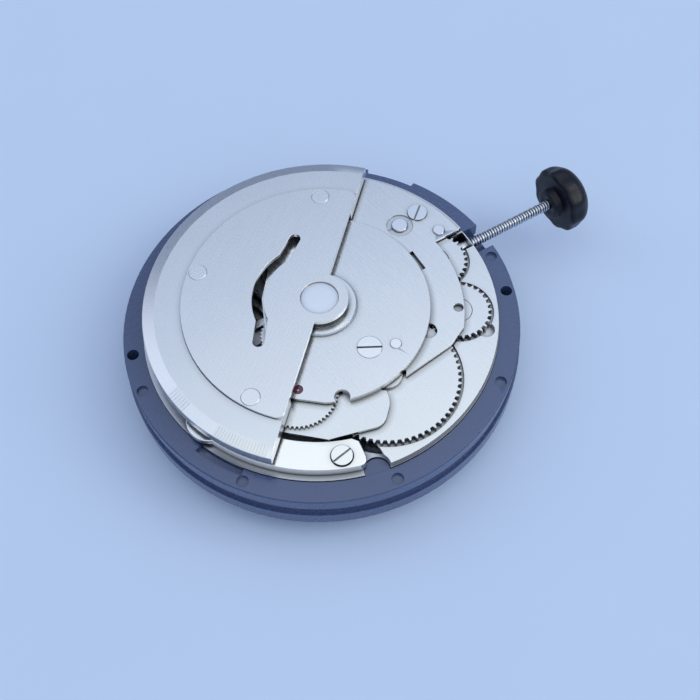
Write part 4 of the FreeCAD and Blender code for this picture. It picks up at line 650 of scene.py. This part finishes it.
class Trees:
    """Geometry node trees for what repeats or follows a path."""

    steps_a_turn: int = 20
    ridge_corners: int = 4

    @staticmethod
    def ribs_on_arc(material: bpy.types.Material) -> NodeTreeMaker:
        """Flat ribs that stand on an arc and point to its centre.

        Args:
            material: Material of the ribs.

        Returns:
            The tree, with inputs Radius, Start, Sweep, Count, Level, Tilt, Long, Wide, High.
        """
        tree = NodeTreeMaker("ribs_on_arc", ("Radius", "Start", "Sweep", "Level", "Tilt",
                                             "Long", "Wide", "High"), ("Count",))
        points = tree.add("GeometryNodePoints")
        tree.join(tree.given("Count"), points.inputs["Count"])
        index = tree.add("GeometryNodeInputIndex").outputs[0]
        share = tree.math("DIVIDE", index, tree.math("SUBTRACT", tree.given("Count"), 1.0))
        angle = tree.math("ADD", tree.given("Start"),
                          tree.math("MULTIPLY", share, tree.given("Sweep")))
        place = tree.vector(
            tree.math("MULTIPLY", tree.math("COSINE", angle), tree.given("Radius")),
            tree.math("MULTIPLY", tree.math("SINE", angle), tree.given("Radius")),
            tree.given("Level"))
        tree.join(place, points.inputs["Position"])
        rib = tree.add("GeometryNodeMeshCube")
        tree.join(tree.vector(tree.given("Long"), tree.given("Wide"), tree.given("High")),
                  rib.inputs["Size"])
        turn = tree.add("FunctionNodeEulerToRotation")
        tree.join(tree.vector(0.0, tree.given("Tilt"), angle), turn.inputs[0])
        spread = tree.add("GeometryNodeInstanceOnPoints")
        tree.join(points.outputs[0], spread.inputs["Points"])
        tree.join(rib.outputs["Mesh"], spread.inputs["Instance"])
        tree.join(turn.outputs[0], spread.inputs["Rotation"])
        tree.end(spread.outputs["Instances"], material)
        return tree

    @staticmethod
    def thread_on_rod(material: bpy.types.Material) -> NodeTreeMaker:
        """A screw thread's ridge, wound along X on a rod.

        Args:
            material: Material of the thread.

        Returns:
            The tree, with inputs Radius, Ridge, Length, Turns, Start, Axis Height.
        """
        tree = NodeTreeMaker("thread_on_rod", ("Radius", "Ridge", "Length", "Turns", "Start",
                                               "Axis Height"))
        spiral = tree.add("GeometryNodeCurveSpiral")
        spiral.inputs["Resolution"].default_value = Trees.steps_a_turn
        tree.join(tree.given("Turns"), spiral.inputs["Rotations"])
        tree.join(tree.given("Radius"), spiral.inputs["Start Radius"])
        tree.join(tree.given("Radius"), spiral.inputs["End Radius"])
        tree.join(tree.given("Length"), spiral.inputs["Height"])
        section = tree.add("GeometryNodeCurvePrimitiveCircle")
        section.inputs["Resolution"].default_value = Trees.ridge_corners
        tree.join(tree.given("Ridge"), section.inputs["Radius"])
        sweep = tree.add("GeometryNodeCurveToMesh")
        sweep.inputs["Fill Caps"].default_value = True
        tree.join(spiral.outputs[0], sweep.inputs["Curve"])
        tree.join(section.outputs[0], sweep.inputs["Profile Curve"])
        lay = tree.add("GeometryNodeTransform")
        lay.inputs["Rotation"].default_value = (0.0, math.pi / 2, 0.0)
        tree.join(sweep.outputs[0], lay.inputs["Geometry"])
        tree.join(tree.vector(tree.given("Start"), 0.0, tree.given("Axis Height")),
                  lay.inputs["Translation"])
        tree.end(lay.outputs[0], material)
        return tree


@dataclass
class SubAssembly:
    """A group of pieces that are dressed together."""

    shop: Paintshop
    built: list[bpy.types.Object] = field(default_factory=list)

    def paint(self, finish: Finish, *nodes: str) -> None:
        """Give solids that keep their own mesh a finish.

        Args:
            finish: The finish.
            *nodes: Names of the solids.
        """
        material = self.shop.material(finish)
        for name in nodes:
            solid = frame["nodes"][name]
            if not solid.material_slots:
                solid.data.materials.append(material)
            for slot in solid.material_slots:
                slot.material = material
            self.built.append(solid)

    def stand_for(self, node: str, name: str, finish: Finish, width: float,
                  segments: int = 2, corners: tuple[Point, ...] = ()) -> bpy.types.Object:
        """Replace a solid by a copy with fine chamfers.

        Args:
            node: The solid's name.
            name: Name of the piece that stands for it.
            finish: Its finish.
            width: Width of the chamfer in millimetres.
            segments: Faces across each chamfer.
            corners: Upright edges to round first, as (x, y, radius).

        Returns:
            The piece.
        """
        piece = Bench.chamfered(node, name, self.shop.material(finish), width, segments,
                                corners)
        return self.mount(piece, self.body_of(node), self.slot_of(node), node)

    def mount(self, piece: bpy.types.Object, body: str, slot: str,
              *nodes: str) -> bpy.types.Object:
        """Let a piece ride on a body and stand for solids, which it hides.

        Args:
            piece: The piece.
            body: Name of the body that it rides on.
            slot: Material slot of the record; not used.
            *nodes: Solids that it stands for.

        Returns:
            The piece.
        """
        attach(piece, body)
        if nodes:
            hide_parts(*nodes)
        self.built.append(piece)
        return piece

    @staticmethod
    def body_of(node: str) -> str:
        """Name of the body that holds a solid."""
        bodies = frame["record"]["behaviour"]["bodies"]
        return next(body for body, members in bodies.items() if node in members)

    @staticmethod
    def slot_of(node: str) -> str:
        """Material slot of a solid."""
        return next(part["material_slot"] for part in frame["record"]["subparts"]
                    if part["node"] == node)


@dataclass
class CasingRing(SubAssembly):
    """Moulded ring that centres the movement in its case."""

    edge: float = 0.06

    def dress(self) -> None:
        """Replace the ring by one with softened moulded edges."""
        self.stand_for("casing_ring", "casing_ring_moulded", Finishes.RING, self.edge,
                       segments=3)


@dataclass
class Plates(SubAssembly):
    """Main plate, bridges and cock, with chamfers where they show."""

    chamfer: float = 0.035
    cock_chamfer: float = 0.06
    cock_corners: tuple[Point, ...] = ((-3.105, -12.005, 0.95), (-2.579, -9.972, 0.35))
    lower_corners: tuple[Point, ...] = ((0.4, -8.9, 0.45), (-0.9, -10.2, 0.6))

    def dress(self) -> None:
        """Chamfer and paint the plates, the bridges and the cock."""
        self.paint(Finishes.PLATE, "main_plate", "calendar_plate", "pallet_bridge")
        for node in ("barrel_bridge", "train_bridge", "automatic_bridge"):
            self.stand_for(node, f"{node}_chamfered", Finishes.BRIDGE, self.chamfer)
        self.stand_for("lower_automatic_plate", "lower_automatic_plate_chamfered",
                       Finishes.BRIDGE, self.chamfer, corners=self.lower_corners)
        self.stand_for("balance_cock", "balance_cock_chamfered", Finishes.COCK,
                       self.cock_chamfer, corners=self.cock_corners)
        self.paint(Finishes.RUBY, "plate_jewels", "train_bridge_jewels", "pallet_bridge_jewel")
        self.paint(Finishes.SMALL_RUBY, "automatic_jewels")


@dataclass
class GoingTrain(SubAssembly):
    """Barrel, train wheels and escapement."""

    def dress(self) -> None:
        """Paint the wheels, the springs and the stones."""
        # The barrel is darkened as painted shade where it shows in the gap under the ratchet.
        self.paint(Finishes.DARK_STEEL, "barrel_drum", "barrel_cover")
        self.paint(Finishes.GILT, "second_wheel", "third_wheel", "seconds_wheel")
        self.paint(Finishes.STEEL, "barrel_arbor", "escape_wheel", "pallet_lever")
        self.paint(Finishes.SPRING, "mainspring")
        self.paint(Finishes.RUBY, "pallet_stones")


@dataclass
class BalanceWorks(SubAssembly):
    """Balance, its spring and its shock settings."""

    def dress(self) -> None:
        """Paint the balance and what holds it."""
        self.paint(Finishes.NICKEL, "balance_wheel")
        self.paint(Finishes.GILT, "upper_shock_setting", "lower_shock_setting")
        self.paint(Finishes.STEEL, "balance_staff")
        self.paint(Finishes.SPRING, "hairspring")
        self.paint(Finishes.POLISHED, "regulator", "stud_carrier")


@dataclass
class WindingWorks(SubAssembly):
    """Ratchet wheel, crown wheels and click."""

    ratchet_centre: tuple[float, float] = (1.30, -6.90)
    crown_centre: tuple[float, float] = (9.45, -0.45)
    relay_centre: tuple[float, float] = (8.469, -4.985)
    tooth_chamfer: float = 0.02

    def dress(self) -> None:
        """Give each wheel lines that run out from its own centre."""
        for node, centre in (("ratchet_wheel", self.ratchet_centre),
                             ("crown_wheel", self.crown_centre),
                             ("relay_crown_wheel", self.relay_centre)):
            finish = Finishes.sunray(f"{node}_sunray", centre, Finishes.BRIDGE)
            self.stand_for(node, f"{node}_chamfered", finish, self.tooth_chamfer, segments=1)
        self.paint(Finishes.POLISHED, "ratchet_screw", "click")


@dataclass
class Rotor(SubAssembly):
    """Half-disc winding rotor with its heavy rim, and the works that it drives.

    Each patch of ribs runs from one angle to another, in degrees. A rib covers a share of the
    band, and a share of its height is sunk.
    """

    chamfer: float = 0.03
    rivet_chamfer: float = 0.05
    web_corners: tuple[Point, ...] = ((7.041, 6.759, 0.55), (-6.759, -7.041, 0.55))
    band_inner: float = 11.65
    band_outer: float = 12.50
    band_top: float = 5.47
    band_drop: float = 0.22
    rib_patches: tuple[tuple[float, float], ...] = ((206.5, 223.6), (186.0, 193.0))
    rib_pitch: float = 0.20
    rib_width: float = 0.10
    rib_height: float = 0.05
    rib_cover: float = 0.86
    rib_sunk: float = 0.05

    def dress(self) -> None:
        """Chamfer the rotor, rib its band and paint the wheels under it."""
        self.stand_for("rotor_web", "rotor_web_chamfered", Finishes.ROTOR_SHEET, self.chamfer,
                       corners=self.web_corners)
        self.stand_for("rotor_weight", "rotor_weight_chamfered", Finishes.ROTOR_RIM,
                       self.chamfer)
        self.stand_for("rotor_rivets", "rotor_rivets_chamfered", Finishes.RIVET,
                       self.rivet_chamfer)
        self.stand_for("rotor_hub", "rotor_hub_chamfered", Finishes.POLISHED, self.chamfer,
                       segments=3)
        self.paint(Finishes.NICKEL, "reduction_wheel", "reverser_wheel")
        self.paint(Finishes.STEEL, "rotor_pinion", "rotor_bearing")
        self.rib_band()

    def rib_band(self) -> None:
        """Stand fine radial ribs on two stretches of the sloping band round the rim."""
        middle = (self.band_inner + self.band_outer) / 2
        wide = self.band_outer - self.band_inner
        level = self.band_top - self.band_drop / 2 - self.rib_height * self.rib_sunk
        material = self.shop.material(Finishes.ROTOR_RIM)
        tree = Trees.ribs_on_arc(material)
        for number, (start, end) in enumerate(self.rib_patches, start=1):
            sweep = math.radians(end - start)
            ribs = tree.grow(f"rotor_band_ribs_{number}", {
                "Radius": middle * MM,
                "Start": math.radians(start),
                "Sweep": sweep,
                "Count": int(sweep * middle / self.rib_pitch),
                "Level": level * MM,
                "Tilt": math.atan2(self.band_drop, wide),
                "Long": wide * self.rib_cover * MM,
                "Wide": self.rib_width * MM,
                "High": self.rib_height * MM}, material)
            self.mount(ribs, "rotor", "rotor_metal")


@dataclass
class StemAndKnob(SubAssembly):
    """Winding stem with its screw thread, its pinions and the knob.

    Starts, ends and middles are places along the stem. The thread's ridge is sunk a little into
    the core, so its section is a share bigger than it stands proud. The points of the knob's
    outline are steps along the stem and outwards, with the share of the flats' depth there.
    """

    axis_height: float = 2.80
    edge: float = 0.04
    pilot_start: float = 8.32
    pilot_end: float = 8.87
    pilot_radius: float = 0.22
    square_radius: float = 0.27
    shank_start: float = 10.80
    shank_end: float = 12.90
    shank_radius: float = 0.45
    groove_middle: float = 11.60
    groove_width: float = 0.22
    groove_radius: float = 0.32
    thread_start: float = 13.00
    thread_end: float = 20.90
    root_radius: float = 0.30
    crest_radius: float = 0.405
    ridge_share: float = 1.25
    pitch: float = 0.225
    stem_end: float = 21.05
    stem_steps: int = 48
    knob_start: float = 20.10
    knob_end: float = 22.80
    knob_radius: float = 2.54
    bore_depth: float = 0.30
    bore_gap: float = 0.02
    bore_mouth: tuple[Point, ...] = ((0.04, 0.0, 0.0), (0.0, 0.05, 0.0))
    collar_radius: float = 1.15
    collar_end: float = 20.66
    collar_edge: tuple[Point, ...] = ((0.0, -0.10, 0.0), (0.03, -0.03, 0.0), (0.11, 0.0, 0.0))
    collar_foot: tuple[Point, ...] = ((-0.12, 0.0, 0.0), (-0.02, 0.05, 0.0), (0.0, 0.16, 0.1))
    grip_back: tuple[Point, ...] = ((0.01, -0.25, 0.6),)
    grip_edge: float = 0.34
    grip_width: float = 0.45
    edge_steps: int = 6
    dome_steps: int = 14
    dome_step_angle: float = 6.2
    dome_rise: float = 1.15
    dome_fullness: float = 0.55
    flats: int = 10
    flat_depth: float = 0.049
    flat_fade: float = 0.12
    flat_least: float = 0.15
    flat_steps: int = 12
    knob_smooth_under: float = 45.0

    def dress(self) -> None:
        """Thread the stem, mould the knob and paint the pinions."""
        self.turn_stem()
        self.cut_thread()
        self.paint(Finishes.STEEL, "winding_pinion", "sliding_pinion", "setting_lever", "yoke")
        self.mould_knob()

    def turn_stem(self) -> None:
        """Turn the stem's core: pilot, square, shank with its groove, and threaded end."""
        groove_start = self.groove_middle - self.groove_width / 2
        groove_end = self.groove_middle + self.groove_width / 2
        profile = [(0.0, self.pilot_start),
                   (self.pilot_radius - self.edge, self.pilot_start),
                   (self.pilot_radius, self.pilot_start + 1.5 * self.edge),
                   (self.pilot_radius, self.pilot_end),
                   (self.square_radius, self.pilot_end),
                   (self.square_radius, self.shank_start - self.edge),
                   (self.shank_radius, self.shank_start),
                   (self.shank_radius, groove_start),
                   (self.groove_radius, groove_start),
                   (self.groove_radius, groove_end),
                   (self.shank_radius, groove_end),
                   (self.shank_radius, self.shank_end),
                   (self.root_radius, self.thread_start),
                   (self.root_radius, self.stem_end - self.edge),
                   (self.root_radius - self.edge, self.stem_end),
                   (0.0, self.stem_end)]
        work = bmesh.new()
        rings = []
        for radius, x in profile:
            count = self.stem_steps if radius > 0.0 else 1
            rings.append(Bench.ring(work, x, self.axis_height, [radius] * count))
        Bench.skin(work, rings)
        stem = Bench.new_piece("stem_turned", Bench.mesh_from(work, "stem"),
                               self.shop.material(Finishes.STEM))
        self.mount(stem, "stem", "steel", "stem")

    def cut_thread(self) -> None:
        """Wind the thread's ridge on the stem's outer end."""
        length = self.thread_end - self.thread_start
        ridge = (self.crest_radius - self.root_radius) * self.ridge_share
        material = self.shop.material(Finishes.STEM)
        thread = Trees.thread_on_rod(material).grow("stem_thread", {
            "Radius": (self.crest_radius - ridge) * MM,
            "Ridge": ridge * MM,
            "Length": length * MM,
            "Turns": length / self.pitch,
            "Start": self.thread_start * MM,
            "Axis Height": self.axis_height * MM}, material)
        self.mount(thread, "stem", "steel")

    def knob_profile(self) -> list[tuple[float, float, float]]:
        """Outline of the knob from its bore to its dome.

        Returns:
            Rings as (place along the stem, radius, share of the flats' depth).
        """
        bore = self.root_radius + self.bore_gap
        full, edge, back = self.knob_radius, self.grip_edge, self.collar_end
        rings = [(self.knob_start + self.bore_depth, bore, 0.0)]
        for x, radius, points in ((self.knob_start, bore, self.bore_mouth),
                                  (self.knob_start, self.collar_radius, self.collar_edge),
                                  (back, self.collar_radius, self.collar_foot),
                                  (back, full - edge, self.grip_back)):
            rings += [(x + along, radius + out, share) for along, out, share in points]
        for n in range(self.edge_steps + 1):
            turn = math.pi / 2 * n / self.edge_steps
            rings.append((back + edge * (1.0 - math.cos(turn)),
                          full - edge + edge * math.sin(turn), 1.0))
        dome_start = back + edge + self.grip_width
        reach = self.knob_end - dome_start
        for n in range(self.dome_steps + 1):
            turn = math.radians(self.dome_step_angle * n)
            rings.append((dome_start + reach * math.sin(turn) ** self.dome_rise,
                          full * math.cos(turn) ** self.dome_fullness,
                          max(self.flat_least, 1.0 - self.flat_fade * n)))
        return rings

    def mould_knob(self) -> None:
        """Mould the knob: soft flats round its grip and a dome on its outer end."""
        work = bmesh.new()
        rings = []
        for x, radius, share in self.knob_profile():
            radii = []
            for n in range(self.flat_steps * self.flats):
                dip = 0.5 - 0.5 * math.cos(2.0 * math.pi * n / self.flat_steps)
                radii.append(radius * (1.0 - self.flat_depth * share * dip))
            rings.append(Bench.ring(work, x, self.axis_height, radii))
        work.faces.new(rings[0])
        rings.append(Bench.ring(work, self.knob_end, self.axis_height, [0.0]))
        Bench.skin(work, rings)
        knob = Bench.new_piece("winding_knob_moulded", Bench.mesh_from(work, "knob"),
                               self.shop.material(Finishes.KNOB), self.knob_smooth_under)
        self.mount(knob, "stem", "knob_plastic", "winding_knob")


@dataclass
class DialSide(SubAssembly):
    """Motion works and date works under the plate."""

    days: int = 31
    number_circle: float = 11.52
    number_height: float = 0.78
    number_depth: float = 0.006
    number_steps: int = 2
    ring_low: float = 0.16

    def dress(self) -> None:
        """Paint the dial-side wheels and print the date ring."""
        self.print_days()
        self.paint(Finishes.STEEL, "cannon_pinion", "setting_wheel")
        self.paint(Finishes.GILT, "minute_wheel", "hour_wheel", "intermediate_setting_wheel",
                   "date_driving_wheel")
        self.paint(Finishes.DATE, "date_ring")

    def print_days(self) -> None:
        """Print a number for each day on the date ring's dial side, heads outwards."""
        work = bmesh.new()
        for day in range(1, self.days + 1):
            letters = bpy.data.curves.new("day", "FONT")
            letters.body = str(day)
            letters.size = self.number_height * MM
            letters.align_x = "CENTER"
            letters.align_y = "CENTER"
            letters.resolution_u = self.number_steps
            writing = bpy.data.objects.new("day", letters)
            bpy.context.scene.collection.objects.link(writing)
            flat = Bench.plain_mesh(writing)
            flat.transform(self.place_of(day))
            work.from_mesh(flat)
            bpy.data.objects.remove(writing)
            bpy.data.meshes.remove(flat)
        numbers = Bench.new_piece("date_numbers", Bench.mesh_from(work, "date_numbers"),
                                  self.shop.material(Finishes.INK))
        self.mount(numbers, "date", "date_white")

    def place_of(self, day: int) -> Matrix:
        """Turn and place of a day's number, readable from the dial side.

        Args:
            day: The day of the month.

        Returns:
            The transform of the number's flat mesh.
        """
        angle = 2.0 * math.pi * (day - 1) / self.days
        spot = Matrix.Translation(Vector((
            math.cos(angle) * self.number_circle * MM,
            math.sin(angle) * self.number_circle * MM,
            (self.ring_low - self.number_depth) * MM)))
        turn = Matrix.Rotation(angle - math.pi / 2, 4, "Z")
        over = Matrix.Rotation(math.pi, 4, "Y")
        return spot @ turn @ over


@dataclass
class Screws(SubAssembly):
    """Slotted screws with bevelled heads, and the steady pins."""

    bevel: float = 0.035

    def dress(self) -> None:
        """Bevel and polish each screw."""
        for node in ("train_bridge_screw", "automatic_bridge_screw", "balance_cock_screw"):
            self.stand_for(node, f"{node}_bevelled", Finishes.POLISHED, self.bevel)
        self.paint(Finishes.POLISHED, "steady_pins")


@dataclass(frozen=True)
class Lamp:
    """A square soft lamp that faces the movement. Its place and width are millimetres."""

    name: str
    place: Point
    width: float
    watts: float
    colour: Colour


@dataclass
class Studio:
    """Pale floor, soft lamps and the camera at the photograph's angle.

    The sky is a colour for each step from the dark side of the room to its bright side.
    """

    shop: Paintshop
    eye: Point = (-16.585, -35.184, 64.010)
    right: Point = (0.8617, -0.5067, -0.0239)
    up: Point = (0.4471, 0.7363, 0.5079)
    back: Point = (-0.2398, -0.4484, 0.8611)
    lens: float = 51.43
    sensor: float = 36.0
    nearest: float = 1.0
    farthest: float = 5000.0
    floor_level: float = -2.17
    floor_half: float = 900.0
    room_strength: float = 1.1
    bright_side: Point = (0.10, -0.25, 0.963)
    sky: tuple[tuple[float, Colour], ...] = (
        (0.0, (0.15, 0.19, 0.29)), (0.45, (0.25, 0.31, 0.44)), (0.61, (0.42, 0.51, 0.69)),
        (0.70, (0.58, 0.69, 0.90)), (0.80, (0.90, 0.97, 1.0)))
    lamps: tuple[Lamp, ...] = (
        Lamp("key_lamp", (300.0, -220.0, 300.0), 260.0, 0.42, (1.0, 0.99, 0.97)),
        Lamp("side_lamp", (-260.0, 300.0, 300.0), 320.0, 0.20, (0.95, 0.97, 1.0)))

    def set_up(self) -> None:
        """Build the floor, the world, the lamps and the camera."""
        self.lay_floor()
        self.fill_world()
        for lamp in self.lamps:
            self.hang(lamp)
        self.place_camera()
        bpy.context.scene.view_settings.view_transform = "Standard"

    def lay_floor(self) -> None:
        """A wide flat floor just under the lowest post."""
        half, level = self.floor_half * MM, self.floor_level * MM
        mesh = bpy.data.meshes.new("studio_floor")
        mesh.from_pydata([(-half, -half, level), (half, -half, level), (half, half, level),
                          (-half, half, level)], [], [(0, 1, 2, 3)])
        mesh.materials.append(self.shop.material(Finishes.FLOOR))
        floor = bpy.data.objects.new("studio_floor", mesh)
        bpy.context.scene.collection.objects.link(floor)

    def fill_world(self) -> None:
        """A pale room whose ceiling brightens towards one side, as metal mirrors it."""
        world = bpy.data.worlds.new("studio_world")
        world.use_nodes = True
        bench = NodeBench(world.node_tree)
        output = bench.add("ShaderNodeOutputWorld")
        light = bench.add("ShaderNodeBackground")
        light.inputs["Strength"].default_value = self.room_strength
        towards = bench.add("ShaderNodeVectorMath", operation="DOT_PRODUCT")
        towards.inputs[1].default_value = self.bright_side
        bench.join(bench.add("ShaderNodeTexCoord").outputs["Generated"], towards.inputs[0])
        bench.join(bench.ramp(towards.outputs["Value"], *self.sky), light.inputs["Color"])
        bench.join(light.outputs[0], output.inputs["Surface"])
        bpy.context.scene.world = world

    def hang(self, lamp: Lamp) -> None:
        """Hang a lamp.

        Args:
            lamp: What it is like and where it hangs.
        """
        data = bpy.data.lights.new(lamp.name, "AREA")
        data.shape = "SQUARE"
        data.size = lamp.width * MM
        data.energy = lamp.watts
        data.color = lamp.colour
        body = bpy.data.objects.new(lamp.name, data)
        bpy.context.scene.collection.objects.link(body)
        body.location = Vector(lamp.place) * MM
        body.rotation_mode = "QUATERNION"
        body.rotation_quaternion = Vector(lamp.place).to_track_quat("Z", "Y")

    def place_camera(self) -> None:
        """Set the camera where the photograph was taken from."""
        data = bpy.data.cameras.new("camera")
        data.lens = self.lens
        data.sensor_width = self.sensor
        data.clip_start = self.nearest * MM
        data.clip_end = self.farthest * MM
        camera = bpy.data.objects.new("camera", data)
        bpy.context.scene.collection.objects.link(camera)
        turned = Matrix((self.right, self.up, self.back)).transposed()
        camera.matrix_world = Matrix.Translation(Vector(self.eye) * MM) @ turned.to_4x4()
        bpy.context.scene.camera = camera


def main() -> None:
    """Dress every sub-assembly, log its pieces and set up the studio."""
    logging.basicConfig(level=logging.INFO, format="%(message)s")
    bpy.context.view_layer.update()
    shop = Paintshop()
    for kind in (CasingRing, Plates, GoingTrain, BalanceWorks, WindingWorks, Rotor, StemAndKnob,
                 DialSide, Screws):
        group = kind(shop)
        group.dress()
        for piece in group.built:
            LOG.info("%s: %s, %d faces", kind.__name__, piece.name, len(piece.data.polygons))
    Studio(shop).set_up()


if __name__ == "__main__":
    main()
